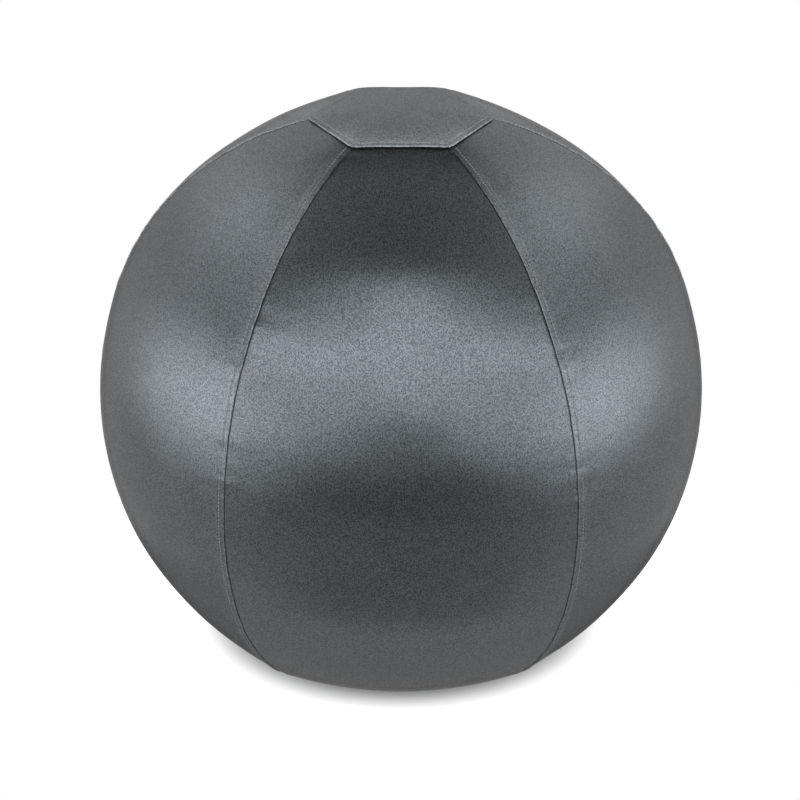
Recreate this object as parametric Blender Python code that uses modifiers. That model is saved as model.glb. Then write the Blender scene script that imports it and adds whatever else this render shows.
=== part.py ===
"""Sitting ball: a sewn cover of six gores, a hexagonal cap and a base panel, zipped over an inflated ball.

Metres, +Z up. The origin is under the middle of the base panel, and the front gore faces -Y.
Azimuths start at the front and grow towards +X; latitudes are seen from the middle of the ball.
"""

import math

import bmesh
import bpy
from mathutils import Matrix, Vector

# Cover
BALL_DIAMETER = 0.650
GORE_NAMES = (
    "gore_front",
    "gore_front_right",
    "gore_back_right",
    "gore_back",
    "gore_back_left",
    "gore_front_left",
)
COVER_THICKNESS = 0.0020
SEAM_RIDGE = 0.0048
SEAM_GAP = 0.0008
CAP_SIDE = 0.090
CAP_LAP = 0.012
CAP_SAG = 0.0020
BASE_SIDE = 0.090
BASE_LAP = 0.012
BASE_THICKNESS = 0.0022
CLEARANCE = 0.0003

# Topstitching
THREAD_DIAMETER = 0.0008
STITCH_INSET = 0.0055
STITCH_END = 0.004

# Zip, in the seam between the right and back gores
ZIP_SEAM = 2
ZIP_TOP = math.radians(-4)
ZIP_BOTTOM = math.radians(-60)
ZIP_END = math.radians(0.5)
TAPE_WIDTH = 0.013
TAPE_THICKNESS = 0.0005
TOOTH_ROW_WIDTH = 0.0022
TOOTH_ROW_HEIGHT = 0.0018
TOOTH_ROW_GAP = 0.0016
STOP_LENGTH = 0.0025
STOP_HEIGHT = 0.0012

# Zip slider and pull tab
SLIDER_TOP_PLATE = 0.0014
SLIDER_LOWER_PLATE = 0.0008
SLIDER_WEB = 0.0009
SLIDER_EDGE = 0.0010
SLIDER_CORNER = 0.0016
BRIDGE_RADIUS = 0.0042
BRIDGE_WIRE = 0.0016
PULL_LENGTH = 0.030
PULL_WIDTH = 0.0072
PULL_THICKNESS = 0.0014
PULL_PLAY = 0.0008
PULL_LIFT = 0.0005

# Inflated ball and its valve
BALL_WALL = 0.0012
VALVE_LATITUDE = math.radians(-32)
BUSH_RADIUS = 0.011
BUSH_FLANGE_RADIUS = 0.017
BUSH_FLANGE_THICKNESS = 0.0020
BUSH_LENGTH = 0.018
BUSH_TUBE_WALL = 0.0030
PLUG_HEAD_RADIUS = 0.0075
PLUG_HEAD_THICKNESS = 0.0020
PLUG_STEM_RADIUS = 0.0050
PLUG_STEM_LENGTH = 0.013
PLUG_TIP_RADIUS = 0.0040
PLUG_FIT = 0.00025

# Fineness of the meshes
SMOOTH_ANGLE = math.radians(40)
WELD_DISTANCE = 0.00001
GORE_COLUMNS = 10
GORE_ROWS = (3, 1, 10, 1, 9)
CAP_CUTS = 5
ZIP_ROWS = 20
BALL_RINGS = 18
BALL_TURNS = 36
VALVE_TURNS = 28
CAP_THREAD_POINTS = 4
CORNER_STEPS = 3
BRIDGE_STEPS = 10
PULL_END_STEPS = 8

# Sizes that follow from the ones above
BALL_RADIUS = BALL_DIAMETER / 2
GORE_COUNT = len(GORE_NAMES)
GORE_ANGLE = math.tau / GORE_COUNT
CAP_CORNER = CAP_SIDE / (2 * math.sin(GORE_ANGLE / 2))
CAP_APOTHEM = CAP_CORNER * math.cos(GORE_ANGLE / 2)
BASE_CORNER = BASE_SIDE / (2 * math.sin(GORE_ANGLE / 2))
BASE_APOTHEM = BASE_CORNER * math.cos(GORE_ANGLE / 2)
HEM_LEVEL = BASE_THICKNESS + CLEARANCE
BALL_HEIGHT = HEM_LEVEL + math.sqrt(BALL_RADIUS**2 - BASE_CORNER**2)
ZIP_AZIMUTH = (ZIP_SEAM + 0.5) * GORE_ANGLE
UP = Vector((0, 0, 1))


def heading(azimuth):
    """Level direction at an azimuth."""
    return Vector((math.sin(azimuth), -math.cos(azimuth), 0))


def sideways(azimuth):
    """Level direction square to the heading, towards growing azimuth."""
    return Vector((math.cos(azimuth), math.sin(azimuth), 0))


def chord_sag(angle):
    """How far a flat facet that spans an angle lies inside the round of the cover."""
    return BALL_RADIUS * (1 - math.cos(angle / 2))


def free_lift(latitude):
    """How far a sewn seam stands proud of the middle of its gores."""
    return SEAM_RIDGE * math.sin(2 * latitude) ** 2


def seam_spot(latitude):
    """A point of a sewn seam as (outward, up) from the ball's middle."""
    reach = BALL_RADIUS + free_lift(latitude)
    return Vector((reach * math.cos(latitude), reach * math.sin(latitude)))


def circle_through(first, second, third):
    """Centre and radius of the circle through three points of a plane."""
    to_second = second - first
    to_third = third - first
    area = 2 * (to_second.x * to_third.y - to_second.y * to_third.x)
    along = to_second.length_squared * to_third - to_third.length_squared * to_second
    centre = first + Vector((along.y, -along.x)) / area
    return centre, (first - centre).length


# The zip holds its seam to one true arc, which the slider can run along.
ZIP_CENTRE, ZIP_RADIUS = circle_through(
    seam_spot(ZIP_BOTTOM), seam_spot((ZIP_BOTTOM + ZIP_TOP) / 2), seam_spot(ZIP_TOP)
)


def on_zip(seam, latitude):
    """Whether this stretch of a seam is the zip."""
    margin = ZIP_END / 2
    return seam == ZIP_SEAM and ZIP_BOTTOM - margin < latitude < ZIP_TOP + margin


def seam_lift(seam, latitude):
    """How far a seam stands proud, with the zip on its own arc."""
    if not on_zip(seam, latitude):
        return free_lift(latitude)
    ray = Vector((math.cos(latitude), math.sin(latitude)))
    along = ray.dot(ZIP_CENTRE)
    reach = along + math.sqrt(ZIP_RADIUS**2 - ZIP_CENTRE.length_squared + along**2)
    return reach - BALL_RADIUS


def cover_point(azimuth, latitude, out=0.0):
    """A point this far outside the cover's outer face, no lower than where the hems lie flat."""
    turns = azimuth / GORE_ANGLE
    gore = round(turns)
    share = 2 * (turns - gore)
    seam = gore if share > 0 else gore - 1
    reach = BALL_RADIUS + seam_lift(seam % GORE_COUNT, latitude) * share**2 + out
    point = reach * (math.cos(latitude) * heading(azimuth) + math.sin(latitude) * UP)
    point.z = max(point.z + BALL_HEIGHT, HEM_LEVEL)
    return point


def column_share(column):
    """How far a gore's column lies from its middle to its seams, -1 to 1: columns crowd towards the seams."""
    return math.sin((2 * column / GORE_COLUMNS - 1) * math.pi / 2)


def level_turn(away, latitude):
    """Azimuth that a level distance from a seam's plane takes up at a latitude."""
    return math.asin(away / (BALL_RADIUS * math.cos(latitude)))


# Depths of the zip's layers, outwards from the cover's outer face at the seam
ROW_ANGLE = (ZIP_TOP - ZIP_BOTTOM) / GORE_ROWS[2]
COLUMN_ANGLE = (column_share(GORE_COLUMNS - 1) - column_share(GORE_COLUMNS - 2)) * GORE_ANGLE / 2
COVER_ROOM = chord_sag(ROW_ANGLE) + chord_sag(COLUMN_ANGLE)
ZIP_SAG = chord_sag((ZIP_TOP - ZIP_BOTTOM) / ZIP_ROWS)
TOOTH_ROW_EDGE = TOOTH_ROW_GAP / 2 + TOOTH_ROW_WIDTH
SLIDER_WIDTH = 2 * (TOOTH_ROW_EDGE + CLEARANCE)
ZIP_OPENING = SLIDER_WIDTH + 4 * CLEARANCE
RIDGE_SLOPE = 2 * SEAM_RIDGE / (BALL_RADIUS * GORE_ANGLE / 2)
PLATE_DROP = RIDGE_SLOPE * SLIDER_WIDTH / 2 + (SLIDER_WIDTH / 2) ** 2 / BALL_RADIUS
TAPE_TOP = -COVER_THICKNESS - COVER_ROOM - CLEARANCE
TOOTH_ROW_TOP = TAPE_TOP + CLEARANCE + TOOTH_ROW_HEIGHT
TOP_PLATE_LOW = TOOTH_ROW_TOP + CLEARANCE
TOP_PLATE_HIGH = TOP_PLATE_LOW + SLIDER_TOP_PLATE
LOWER_PLATE_HIGH = TAPE_TOP - TAPE_THICKNESS - ZIP_SAG - PLATE_DROP - CLEARANCE
LOWER_PLATE_LOW = LOWER_PLATE_HIGH - SLIDER_LOWER_PLATE
PULL_HINGE = TOP_PLATE_HIGH + PULL_LIFT + PULL_THICKNESS / 2
INNER_RADIUS = BALL_RADIUS + LOWER_PLATE_LOW - CLEARANCE
INNER_FLAT = HEM_LEVEL + COVER_THICKNESS + CLEARANCE

# Places along the zip, as angles about the middle of its arc
SLIDER_LENGTH = 2 * (BRIDGE_RADIUS + BRIDGE_WIRE / 2 + SLIDER_EDGE)
SLIDER_PARKING = (2 * STOP_LENGTH + SLIDER_LENGTH / 2 + CLEARANCE) / ZIP_RADIUS


def zip_angle(latitude):
    """Angle about the middle of the zip's arc for a latitude on it."""
    spot = seam_spot(latitude) - ZIP_CENTRE
    return math.atan2(spot.y, spot.x)


ZIP_TOP_ANGLE = zip_angle(ZIP_TOP)
ZIP_BOTTOM_ANGLE = zip_angle(ZIP_BOTTOM)
SLIDER_CLOSED = ZIP_TOP_ANGLE - SLIDER_PARKING
SLIDER_OPEN = ZIP_BOTTOM_ANGLE + SLIDER_PARKING


def zip_axes(angle):
    """Frame at the middle of the zip's arc: X across the zip, Y up along it, Z out through it."""
    outward = math.cos(angle) * heading(ZIP_AZIMUTH) + math.sin(angle) * UP
    across = sideways(ZIP_AZIMUTH)
    axes = Matrix((across, outward.cross(across), outward)).transposed().to_4x4()
    axes.translation = heading(ZIP_AZIMUTH) * ZIP_CENTRE.x + UP * (BALL_HEIGHT + ZIP_CENTRE.y)
    return axes


def valve_axes(distance):
    """Frame on the valve's axis, this far from the ball's middle, with Z out along the axis."""
    outward = math.cos(VALVE_LATITUDE) * heading(ZIP_AZIMUTH) + math.sin(VALVE_LATITUDE) * UP
    across = sideways(ZIP_AZIMUTH)
    axes = Matrix((across, outward.cross(across), outward)).transposed().to_4x4()
    axes.translation = UP * BALL_HEIGHT + outward * distance
    return axes


def clear_scene():
    for old in list(bpy.data.objects):
        bpy.data.objects.remove(old, do_unlink=True)


def new_collection(name):
    collection = bpy.data.collections.new(name)
    bpy.context.scene.collection.children.link(collection)
    return collection


def add_part(name, data, finish):
    """Links one named piece with a material of its own: finish is (colour, roughness, metallic)."""
    part = bpy.data.objects.new(name, data)
    PARTS.objects.link(part)
    colour, roughness, metallic = finish
    material = bpy.data.materials.new(name)
    material.use_nodes = True
    shader = material.node_tree.nodes["Principled BSDF"]
    shader.inputs["Base Color"].default_value = (*colour, 1)
    shader.inputs["Roughness"].default_value = roughness
    shader.inputs["Metallic"].default_value = metallic
    data.materials.append(material)
    return part


def add_helper(name, data):
    """Links a shape that only joins or cuts another."""
    helper = bpy.data.objects.new(name, data)
    CUTTERS.objects.link(helper)
    helper.hide_render = True
    helper.display_type = "WIRE"
    return helper


def finished_mesh(name, shape):
    mesh = bpy.data.meshes.new(name)
    shape.to_mesh(mesh)
    shape.free()
    mesh.shade_smooth()
    mesh.set_sharp_from_angle(angle=SMOOTH_ANGLE)
    return mesh


def thicken(part, thickness, side):
    """Gives a sheet its thickness: side -1 grows inwards and 1 outwards."""
    wall = part.modifiers.new("thickness", "SOLIDIFY")
    wall.thickness = thickness
    wall.offset = side
    wall.use_even_offset = True


def grid_sheet(name, columns, rows, place):
    """A grid of faces whose corner at (column, row) is put where place says."""
    shape = bmesh.new()
    bmesh.ops.create_grid(shape, x_segments=columns, y_segments=rows, size=1)
    for corner in shape.verts:
        column = round((corner.co.x + 1) / 2 * columns)
        row = round((corner.co.y + 1) / 2 * rows)
        corner.co = place(column, row)
    return finished_mesh(name, shape)


def row_levels(share):
    """Latitudes of a gore's rows, this share of the way to a seam: the ends follow the cap and the base."""
    spread = math.cos(share * GORE_ANGLE / 2)
    top = math.acos((CAP_APOTHEM - CAP_LAP) / spread / BALL_RADIUS)
    bottom = -math.acos((BASE_APOTHEM - BASE_LAP) / spread / BALL_RADIUS)
    marks = (bottom, ZIP_BOTTOM - ZIP_END, ZIP_BOTTOM, ZIP_TOP, ZIP_TOP + ZIP_END, top)
    levels = [bottom]
    for low, high, count in zip(marks, marks[1:], GORE_ROWS):
        levels += [low + (high - low) * step / count for step in range(1, count + 1)]
    return levels


def edge_room(seam, latitude):
    """Half the gap that a gore leaves at a seam."""
    return (ZIP_OPENING if on_zip(seam, latitude) else SEAM_GAP) / 2


def gore_place(gore, column, row):
    """The place of a corner of a gore's grid."""
    share = column_share(column)
    latitude = row_levels(share)[row]
    seam = gore if share > 0 else gore - 1
    half_width = GORE_ANGLE / 2 - level_turn(edge_room(seam % GORE_COUNT, latitude), latitude)
    return cover_point(gore * GORE_ANGLE + share * half_width, latitude)


def make_gores():
    for gore, name in enumerate(GORE_NAMES):
        rows = sum(GORE_ROWS)
        mesh = grid_sheet(name, GORE_COLUMNS, rows, lambda column, row: gore_place(gore, column, row))
        thicken(add_part(name, mesh, FABRIC), COVER_THICKNESS, -1)


def cap_point(azimuth, away, out=0.0):
    """A point this far outside the cap's lower face, which dips where no gore lies under it."""
    hollow = max(0, 1 - away / (CAP_APOTHEM - CAP_LAP))
    sag = CAP_SAG * hollow**2 * (3 - 2 * hollow)
    latitude = math.acos(min(1, away / BALL_RADIUS))
    return cover_point(azimuth, latitude, CLEARANCE - sag + out)


def make_cap():
    shape = bmesh.new()
    bmesh.ops.create_circle(
        shape, cap_ends=True, cap_tris=True, segments=GORE_COUNT, radius=CAP_CORNER
    )
    bmesh.ops.subdivide_edges(shape, edges=shape.edges, cuts=CAP_CUTS, use_grid_fill=True)
    for corner in shape.verts:
        azimuth = math.atan2(corner.co.x, -corner.co.y) + GORE_ANGLE / 2
        corner.co = cap_point(azimuth, corner.co.xy.length)
    thicken(add_part("cap_panel", finished_mesh("cap_panel", shape), FABRIC), COVER_THICKNESS, 1)


def make_base():
    shape = bmesh.new()
    bmesh.ops.create_cone(
        shape,
        cap_ends=True,
        segments=GORE_COUNT,
        radius1=BASE_CORNER,
        radius2=BASE_CORNER,
        depth=BASE_THICKNESS,
    )
    base = add_part("base_panel", finished_mesh("base_panel", shape), FABRIC)
    base.rotation_euler.z = GORE_ANGLE / 2
    base.location.z = BASE_THICKNESS / 2


def add_thread(name, points, closed=False):
    path = bpy.data.curves.new(name, "CURVE")
    path.dimensions = "3D"
    path.bevel_depth = THREAD_DIAMETER / 2
    path.bevel_resolution = 1
    path.use_fill_caps = True
    spline = path.splines.new("POLY")
    spline.points.add(len(points) - 1)
    spline.use_cyclic_u = closed
    for knot, point in zip(spline.points, points):
        knot.co = (*point, 1)
    return add_part(name, path, THREAD)


def seam_thread(name, seam, side, bottom, top):
    """A line of stitching beside a seam, on the gore to its left (side -1) or right (side 1)."""
    points = []
    levels = [level for level in row_levels(1) if bottom < level < top]
    for latitude in [bottom, *levels, top]:
        away = edge_room(seam, latitude) + STITCH_INSET
        azimuth = (seam + 0.5) * GORE_ANGLE + side * level_turn(away, latitude)
        points.append(cover_point(azimuth, latitude, CLEARANCE + THREAD_DIAMETER / 2))
    add_thread(name, points)


def make_seam_threads():
    """Each gore lies over the one in front of it and carries the stitching of that seam."""
    top = math.acos(CAP_CORNER / BALL_RADIUS) - STITCH_END / BALL_RADIUS
    bottom = STITCH_END / BALL_RADIUS - math.acos(BASE_CORNER / BALL_RADIUS)
    for seam in range(GORE_COUNT):
        side = 1 if seam < GORE_COUNT / 2 else -1
        stitched = GORE_NAMES[(seam + 1) % GORE_COUNT] if side > 0 else GORE_NAMES[seam]
        edge = "near" if side > 0 else "far"
        seam_thread(f"topstitch_{stitched}_{edge}", seam, side, bottom, top)
    seam_thread("topstitch_zip", ZIP_SEAM, -1, ZIP_BOTTOM, ZIP_TOP)


def make_cap_thread():
    points = []
    line = CAP_APOTHEM - STITCH_INSET
    for side in range(GORE_COUNT):
        for step in range(CAP_THREAD_POINTS):
            turn = (step / CAP_THREAD_POINTS - 0.5) * GORE_ANGLE
            out = COVER_THICKNESS + CLEARANCE + THREAD_DIAMETER / 2
            points.append(cap_point(side * GORE_ANGLE + turn, line / math.cos(turn), out))
    add_thread("topstitch_cap", points, closed=True)


def zip_strip(name, side, near, far, top, thickness, finish):
    """A strip along the zip, between two distances from the middle of the seam."""
    left, right = sorted((side * near, side * far))

    def place(column, row):
        latitude = ZIP_BOTTOM + (ZIP_TOP - ZIP_BOTTOM) * row / ZIP_ROWS
        away = left + (right - left) * column / 2
        return cover_point(ZIP_AZIMUTH + level_turn(away, latitude), latitude, top)

    strip = add_part(name, grid_sheet(name, 2, ZIP_ROWS, place), finish)
    thicken(strip, thickness, -1)


def make_zip_strips():
    for side, word in ((-1, "right"), (1, "back")):
        near = TOOTH_ROW_GAP / 2
        zip_strip(f"zip_tape_{word}", side, near, near + TAPE_WIDTH, TAPE_TOP, TAPE_THICKNESS, TAPE)
        zip_strip(
            f"zip_teeth_{word}", side, near, TOOTH_ROW_EDGE, TOOTH_ROW_TOP, TOOTH_ROW_HEIGHT, TEETH
        )


def rounded_box(size, centre, corner):
    """A box whose four upright edges are rounded."""
    shape = bmesh.new()
    bmesh.ops.create_cube(shape, size=1)
    bmesh.ops.scale(shape, vec=size, verts=shape.verts)
    bmesh.ops.translate(shape, vec=centre, verts=shape.verts)
    upright = [edge for edge in shape.edges if (edge.verts[0].co - edge.verts[1].co).xy.length < corner]
    bmesh.ops.bevel(
        shape, geom=upright, offset=corner, segments=CORNER_STEPS, affect="EDGES", profile=0.5
    )
    return shape


def make_stops():
    for word, angle in (
        ("top", ZIP_TOP_ANGLE - STOP_LENGTH / ZIP_RADIUS),
        ("bottom", ZIP_BOTTOM_ANGLE + STOP_LENGTH / ZIP_RADIUS),
    ):
        name = f"zip_{word}_stop"
        middle = TOOTH_ROW_TOP + CLEARANCE + STOP_HEIGHT / 2
        shape = rounded_box((2 * TOOTH_ROW_EDGE, STOP_LENGTH, STOP_HEIGHT), (0, 0, middle), STOP_LENGTH / 4)
        stop = add_part(name, finished_mesh(name, shape), METAL)
        stop.matrix_world = zip_axes(angle) @ Matrix.Translation((0, 0, ZIP_RADIUS))


def bridge_mesh():
    """The bent wire on the slider's back that the pull tab hangs in."""
    wire = bpy.data.curves.new("bridge_wire", "CURVE")
    wire.dimensions = "3D"
    wire.bevel_depth = BRIDGE_WIRE / 2
    wire.bevel_resolution = 2
    wire.use_fill_caps = True
    foot = TOP_PLATE_HIGH - SLIDER_TOP_PLATE / 2
    points = [(0, BRIDGE_RADIUS, foot)]
    for step in range(BRIDGE_STEPS + 1):
        turn = math.pi * step / BRIDGE_STEPS
        points.append((0, BRIDGE_RADIUS * math.cos(turn), PULL_HINGE + BRIDGE_RADIUS * math.sin(turn)))
    points.append((0, -BRIDGE_RADIUS, foot))
    spline = wire.splines.new("POLY")
    spline.points.add(len(points) - 1)
    for knot, point in zip(spline.points, points):
        knot.co = (*point, 1)
    holder = bpy.data.objects.new("bridge_wire", wire)
    CUTTERS.objects.link(holder)
    mesh = bpy.data.meshes.new_from_object(holder.evaluated_get(bpy.context.evaluated_depsgraph_get()))
    bpy.data.objects.remove(holder)
    shape = bmesh.new()
    shape.from_mesh(mesh)
    bmesh.ops.remove_doubles(shape, verts=shape.verts, dist=WELD_DISTANCE)
    bmesh.ops.recalc_face_normals(shape, faces=shape.faces)
    bpy.data.meshes.remove(mesh)
    return finished_mesh("bridge", shape)


def slider_block(low, high, width, length, corner):
    return rounded_box((width, length, high - low), (0, 0, (low + high) / 2), corner)


def make_slider():
    """Two plates held together by a web that runs between the tooth rows, with the bridge on top."""
    pivot = bpy.data.objects.new("zip_pivot", None)
    PARTS.objects.link(pivot)
    pivot.matrix_world = zip_axes(SLIDER_CLOSED)
    top_plate = slider_block(TOP_PLATE_LOW, TOP_PLATE_HIGH, SLIDER_WIDTH, SLIDER_LENGTH, SLIDER_CORNER)
    slider = add_part("zip_slider", finished_mesh("zip_slider", top_plate), METAL)
    slider.parent = pivot
    slider.location.z = ZIP_RADIUS
    web_low = (LOWER_PLATE_LOW + LOWER_PLATE_HIGH) / 2
    web_high = (TOP_PLATE_LOW + TOP_PLATE_HIGH) / 2
    web = slider_block(web_low, web_high, SLIDER_WEB, SLIDER_LENGTH / 2, SLIDER_WEB / 4)
    lower = slider_block(LOWER_PLATE_LOW, LOWER_PLATE_HIGH, SLIDER_WIDTH, SLIDER_LENGTH, SLIDER_CORNER)
    joined = {
        "slider_web": finished_mesh("slider_web", web),
        "slider_lower_plate": finished_mesh("slider_lower_plate", lower),
        "slider_bridge": bridge_mesh(),
    }
    for name, mesh in joined.items():
        helper = add_helper(name, mesh)
        helper.parent = slider
        union = slider.modifiers.new(name, "BOOLEAN")
        union.operation = "UNION"
        union.object = helper
    return slider


def add_outline(curve, points):
    spline = curve.splines.new("POLY")
    spline.points.add(len(points) - 1)
    spline.use_cyclic_u = True
    for knot, point in zip(spline.points, points):
        knot.co = (*point, 0, 1)


def make_pull(slider):
    """A flat tab with a window at its head: the bar above the window sits under the slider's bridge."""
    outline = bpy.data.curves.new("zip_pull", "CURVE")
    outline.dimensions = "2D"
    outline.fill_mode = "BOTH"
    outline.extrude = PULL_THICKNESS / 2
    bar = PULL_THICKNESS / 2
    half = PULL_WIDTH / 2
    edge = [(-half, bar), (half, bar)]
    for step in range(PULL_END_STEPS + 1):
        turn = math.pi * step / PULL_END_STEPS
        edge.append((half * math.cos(turn), half - PULL_LENGTH - half * math.sin(turn)))
    add_outline(outline, edge)
    window = BRIDGE_WIRE / 2 + PULL_PLAY
    window_end = -BRIDGE_RADIUS - BRIDGE_WIRE / 2 - PULL_PLAY
    add_outline(outline, [(-window, -bar), (-window, window_end), (window, window_end), (window, -bar)])
    pull = add_part("zip_pull", outline, METAL)
    pull.parent = slider
    pull.location.z = PULL_HINGE
    pull.rotation_euler.x = SLIDER_CLOSED


def turned(name, profile, turns):
    """A solid turned about Z from a profile of (radius, height) points."""
    shape = bmesh.new()
    corners = [shape.verts.new((radius, 0, height)) for radius, height in profile]
    for first, second in zip(corners, corners[1:]):
        shape.edges.new((first, second))
    mesh = bpy.data.meshes.new(name)
    shape.to_mesh(mesh)
    shape.free()
    holder = bpy.data.objects.new(name + "_profile", mesh)
    CUTTERS.objects.link(holder)
    screw = holder.modifiers.new("turn", "SCREW")
    screw.steps = turns
    screw.render_steps = turns
    screw.use_merge_vertices = True
    screw.merge_threshold = WELD_DISTANCE
    solid = bpy.data.meshes.new_from_object(holder.evaluated_get(bpy.context.evaluated_depsgraph_get()))
    bpy.data.objects.remove(holder)
    solid.name = name
    solid.shade_smooth()
    solid.set_sharp_from_angle(angle=SMOOTH_ANGLE)
    return solid


def make_inner_ball():
    """The inflated ball, turned about its valve's axis and pressed flat where it stands in the cover."""
    hole = BUSH_RADIUS + CLEARANCE
    profile = []
    for radius in (INNER_RADIUS - BALL_WALL, INNER_RADIUS):
        rim = math.asin(hole / radius)
        arc = []
        for ring in range(BALL_RINGS):
            polar = rim + (math.pi - rim) * ring / BALL_RINGS
            arc.append((radius * math.sin(polar), radius * math.cos(polar)))
        arc.append((0, -radius))
        profile += arc if profile else reversed(arc)
    mesh = turned("inner_ball", profile, BALL_TURNS)
    mesh.transform(valve_axes(0))
    middle = UP * BALL_HEIGHT
    for vertex in mesh.vertices:
        outside = (vertex.co - middle).length > INNER_RADIUS - BALL_WALL / 2
        vertex.co.z = max(vertex.co.z, INNER_FLAT + (0 if outside else BALL_WALL))
    mesh.transform(Matrix.Translation(-middle))
    ball = add_part("inner_ball", mesh, VINYL)
    ball.location = middle


def make_valve():
    """A bush moulded into the ball's wall, with a tapered plug pushed into it from outside."""
    bore = PLUG_STEM_RADIUS + PLUG_FIT
    tip_bore = PLUG_TIP_RADIUS + PLUG_FIT
    recess = PLUG_HEAD_RADIUS + PLUG_FIT
    recess_floor = -PLUG_HEAD_THICKNESS - PLUG_FIT - CLEARANCE
    wall_fall = BUSH_FLANGE_RADIUS**2 / (2 * INNER_RADIUS) + chord_sag(math.pi / BALL_RINGS) / 2
    flange_top = -BALL_WALL - wall_fall - CLEARANCE
    flange_low = flange_top - BUSH_FLANGE_THICKNESS
    tube = bore + BUSH_TUBE_WALL
    bush_profile = [
        (tip_bore, -BUSH_LENGTH),
        (bore, recess_floor),
        (recess, recess_floor),
        (recess, 0),
        (BUSH_RADIUS, 0),
        (BUSH_RADIUS, flange_top),
        (BUSH_FLANGE_RADIUS, flange_top),
        (BUSH_FLANGE_RADIUS, flange_low),
        (tube, flange_low),
        (tube, -BUSH_LENGTH),
        (tip_bore, -BUSH_LENGTH),
    ]
    bush = add_part("valve_bush", turned("valve_bush", bush_profile, VALVE_TURNS), VINYL)
    bush.matrix_world = valve_axes(INNER_RADIUS)
    head_top = -CLEARANCE
    head_low = head_top - PLUG_HEAD_THICKNESS
    plug_profile = [
        (0, head_top),
        (PLUG_HEAD_RADIUS, head_top),
        (PLUG_HEAD_RADIUS, head_low),
        (PLUG_STEM_RADIUS, head_low),
        (PLUG_TIP_RADIUS, head_low - PLUG_STEM_LENGTH),
        (0, head_low - PLUG_STEM_LENGTH),
    ]
    plug = add_part("valve_plug", turned("valve_plug", plug_profile, VALVE_TURNS), PLUG)
    plug.matrix_world = valve_axes(INNER_RADIUS)


# Finishes as (colour, roughness, metallic)
FABRIC = ((0.062, 0.068, 0.074), 0.45, 0.0)
THREAD = ((0.045, 0.048, 0.052), 0.6, 0.0)
TAPE = ((0.03, 0.032, 0.035), 0.8, 0.0)
TEETH = ((0.04, 0.042, 0.045), 0.4, 0.0)
METAL = ((0.22, 0.22, 0.23), 0.3, 1.0)
VINYL = ((0.32, 0.33, 0.34), 0.5, 0.0)
PLUG = ((0.8, 0.8, 0.78), 0.45, 0.0)

clear_scene()
PARTS = new_collection("sitting_ball")
CUTTERS = new_collection("sitting_ball_cutters")
CUTTERS.hide_render = True
make_gores()
make_cap()
make_base()
make_seam_threads()
make_cap_thread()
make_zip_strips()
make_stops()
make_pull(make_slider())
make_inner_ball()
make_valve()
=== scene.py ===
# %% [markdown]
# # A sitting ball
# The real object is an inflated vinyl ball inside a sewn cover. Six gores of satin cloth run
# from a hexagonal base panel up to a hexagonal cap, and one of the back seams holds a zip.
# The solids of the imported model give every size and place. This lesson dresses them, one
# piece at a time, as cloth, thread, nylon, metal and vinyl.

# %% Load the solids
import math

import bmesh
import bpy
import numpy as np
from mathutils import Matrix, Vector


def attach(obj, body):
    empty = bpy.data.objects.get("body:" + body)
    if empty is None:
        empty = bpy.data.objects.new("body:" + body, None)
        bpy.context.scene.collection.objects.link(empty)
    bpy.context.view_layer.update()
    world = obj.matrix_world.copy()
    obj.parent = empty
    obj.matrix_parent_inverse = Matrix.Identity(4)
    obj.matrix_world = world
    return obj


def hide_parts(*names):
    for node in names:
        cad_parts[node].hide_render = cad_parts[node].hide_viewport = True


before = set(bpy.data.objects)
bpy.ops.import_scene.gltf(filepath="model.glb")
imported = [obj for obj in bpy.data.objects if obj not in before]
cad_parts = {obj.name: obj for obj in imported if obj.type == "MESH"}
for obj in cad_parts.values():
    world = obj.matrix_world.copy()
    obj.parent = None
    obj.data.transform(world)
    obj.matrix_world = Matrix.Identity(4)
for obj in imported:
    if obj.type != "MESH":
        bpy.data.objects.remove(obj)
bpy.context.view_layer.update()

bpy.ops.object.select_all(action="DESELECT")

# %% [markdown]
# ## The ball's main sizes
# A scene that repeats its driving sizes in one place can be checked against the solids at a
# glance. Azimuth 0 faces the front, along -Y, and grows towards the right. Lengths are in
# metres, so a small size is written as a number of millimetres.

# %% Main sizes
MM = 0.001
UP = Vector((0, 0, 1))
BALL_RADIUS = 325 * MM
GORES = ("front", "front_right", "back_right", "back", "back_left", "front_left")
GORE_ANGLE = math.tau / len(GORES)
PANEL_SIDE = 90 * MM
PANEL_APOTHEM = PANEL_SIDE * math.cos(GORE_ANGLE / 2)
HEM_LEVEL = 2.5 * MM
BALL_HEIGHT = HEM_LEVEL + math.sqrt(BALL_RADIUS**2 - PANEL_SIDE**2)


def heading(azimuth):
    """Level direction at an azimuth."""
    return Vector((math.sin(azimuth), -math.cos(azimuth), 0))


def sideways(azimuth):
    """Level direction square to the heading, towards growing azimuth."""
    return Vector((math.cos(azimuth), math.sin(azimuth), 0))


ball_middle = BALL_HEIGHT * UP
print("middle of the ball", round(BALL_HEIGHT, 4), "m above the floor")

# %% [markdown]
# ## Camera
# The photograph looks down on the ball from straight in front. The lens and the distance come
# from how fast the two front seams close up towards the cap: a nearer camera would show less of
# the sides. A small shift, rather than another tilt, sets the ball as high in the frame as it is
# there, so that the seams keep their curves.

# %% Camera
CAMERA_DISTANCE = 1.44
CAMERA_ELEVATION = math.radians(31.5)
CAMERA_LENS = 58.4
CAMERA_SHIFT = (-0.00125, -0.0115)

camera_way = math.cos(CAMERA_ELEVATION) * heading(0) + math.sin(CAMERA_ELEVATION) * UP
bpy.ops.object.camera_add(
    location=ball_middle + CAMERA_DISTANCE * camera_way,
    rotation=(math.pi / 2 - CAMERA_ELEVATION, 0, 0),
)
camera = bpy.context.object
camera.data.lens = CAMERA_LENS
camera.data.shift_x, camera.data.shift_y = CAMERA_SHIFT
bpy.context.scene.camera = camera
bpy.context.scene.view_settings.view_transform = "Standard"
print("camera at", [round(value, 3) for value in camera.location])

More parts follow.
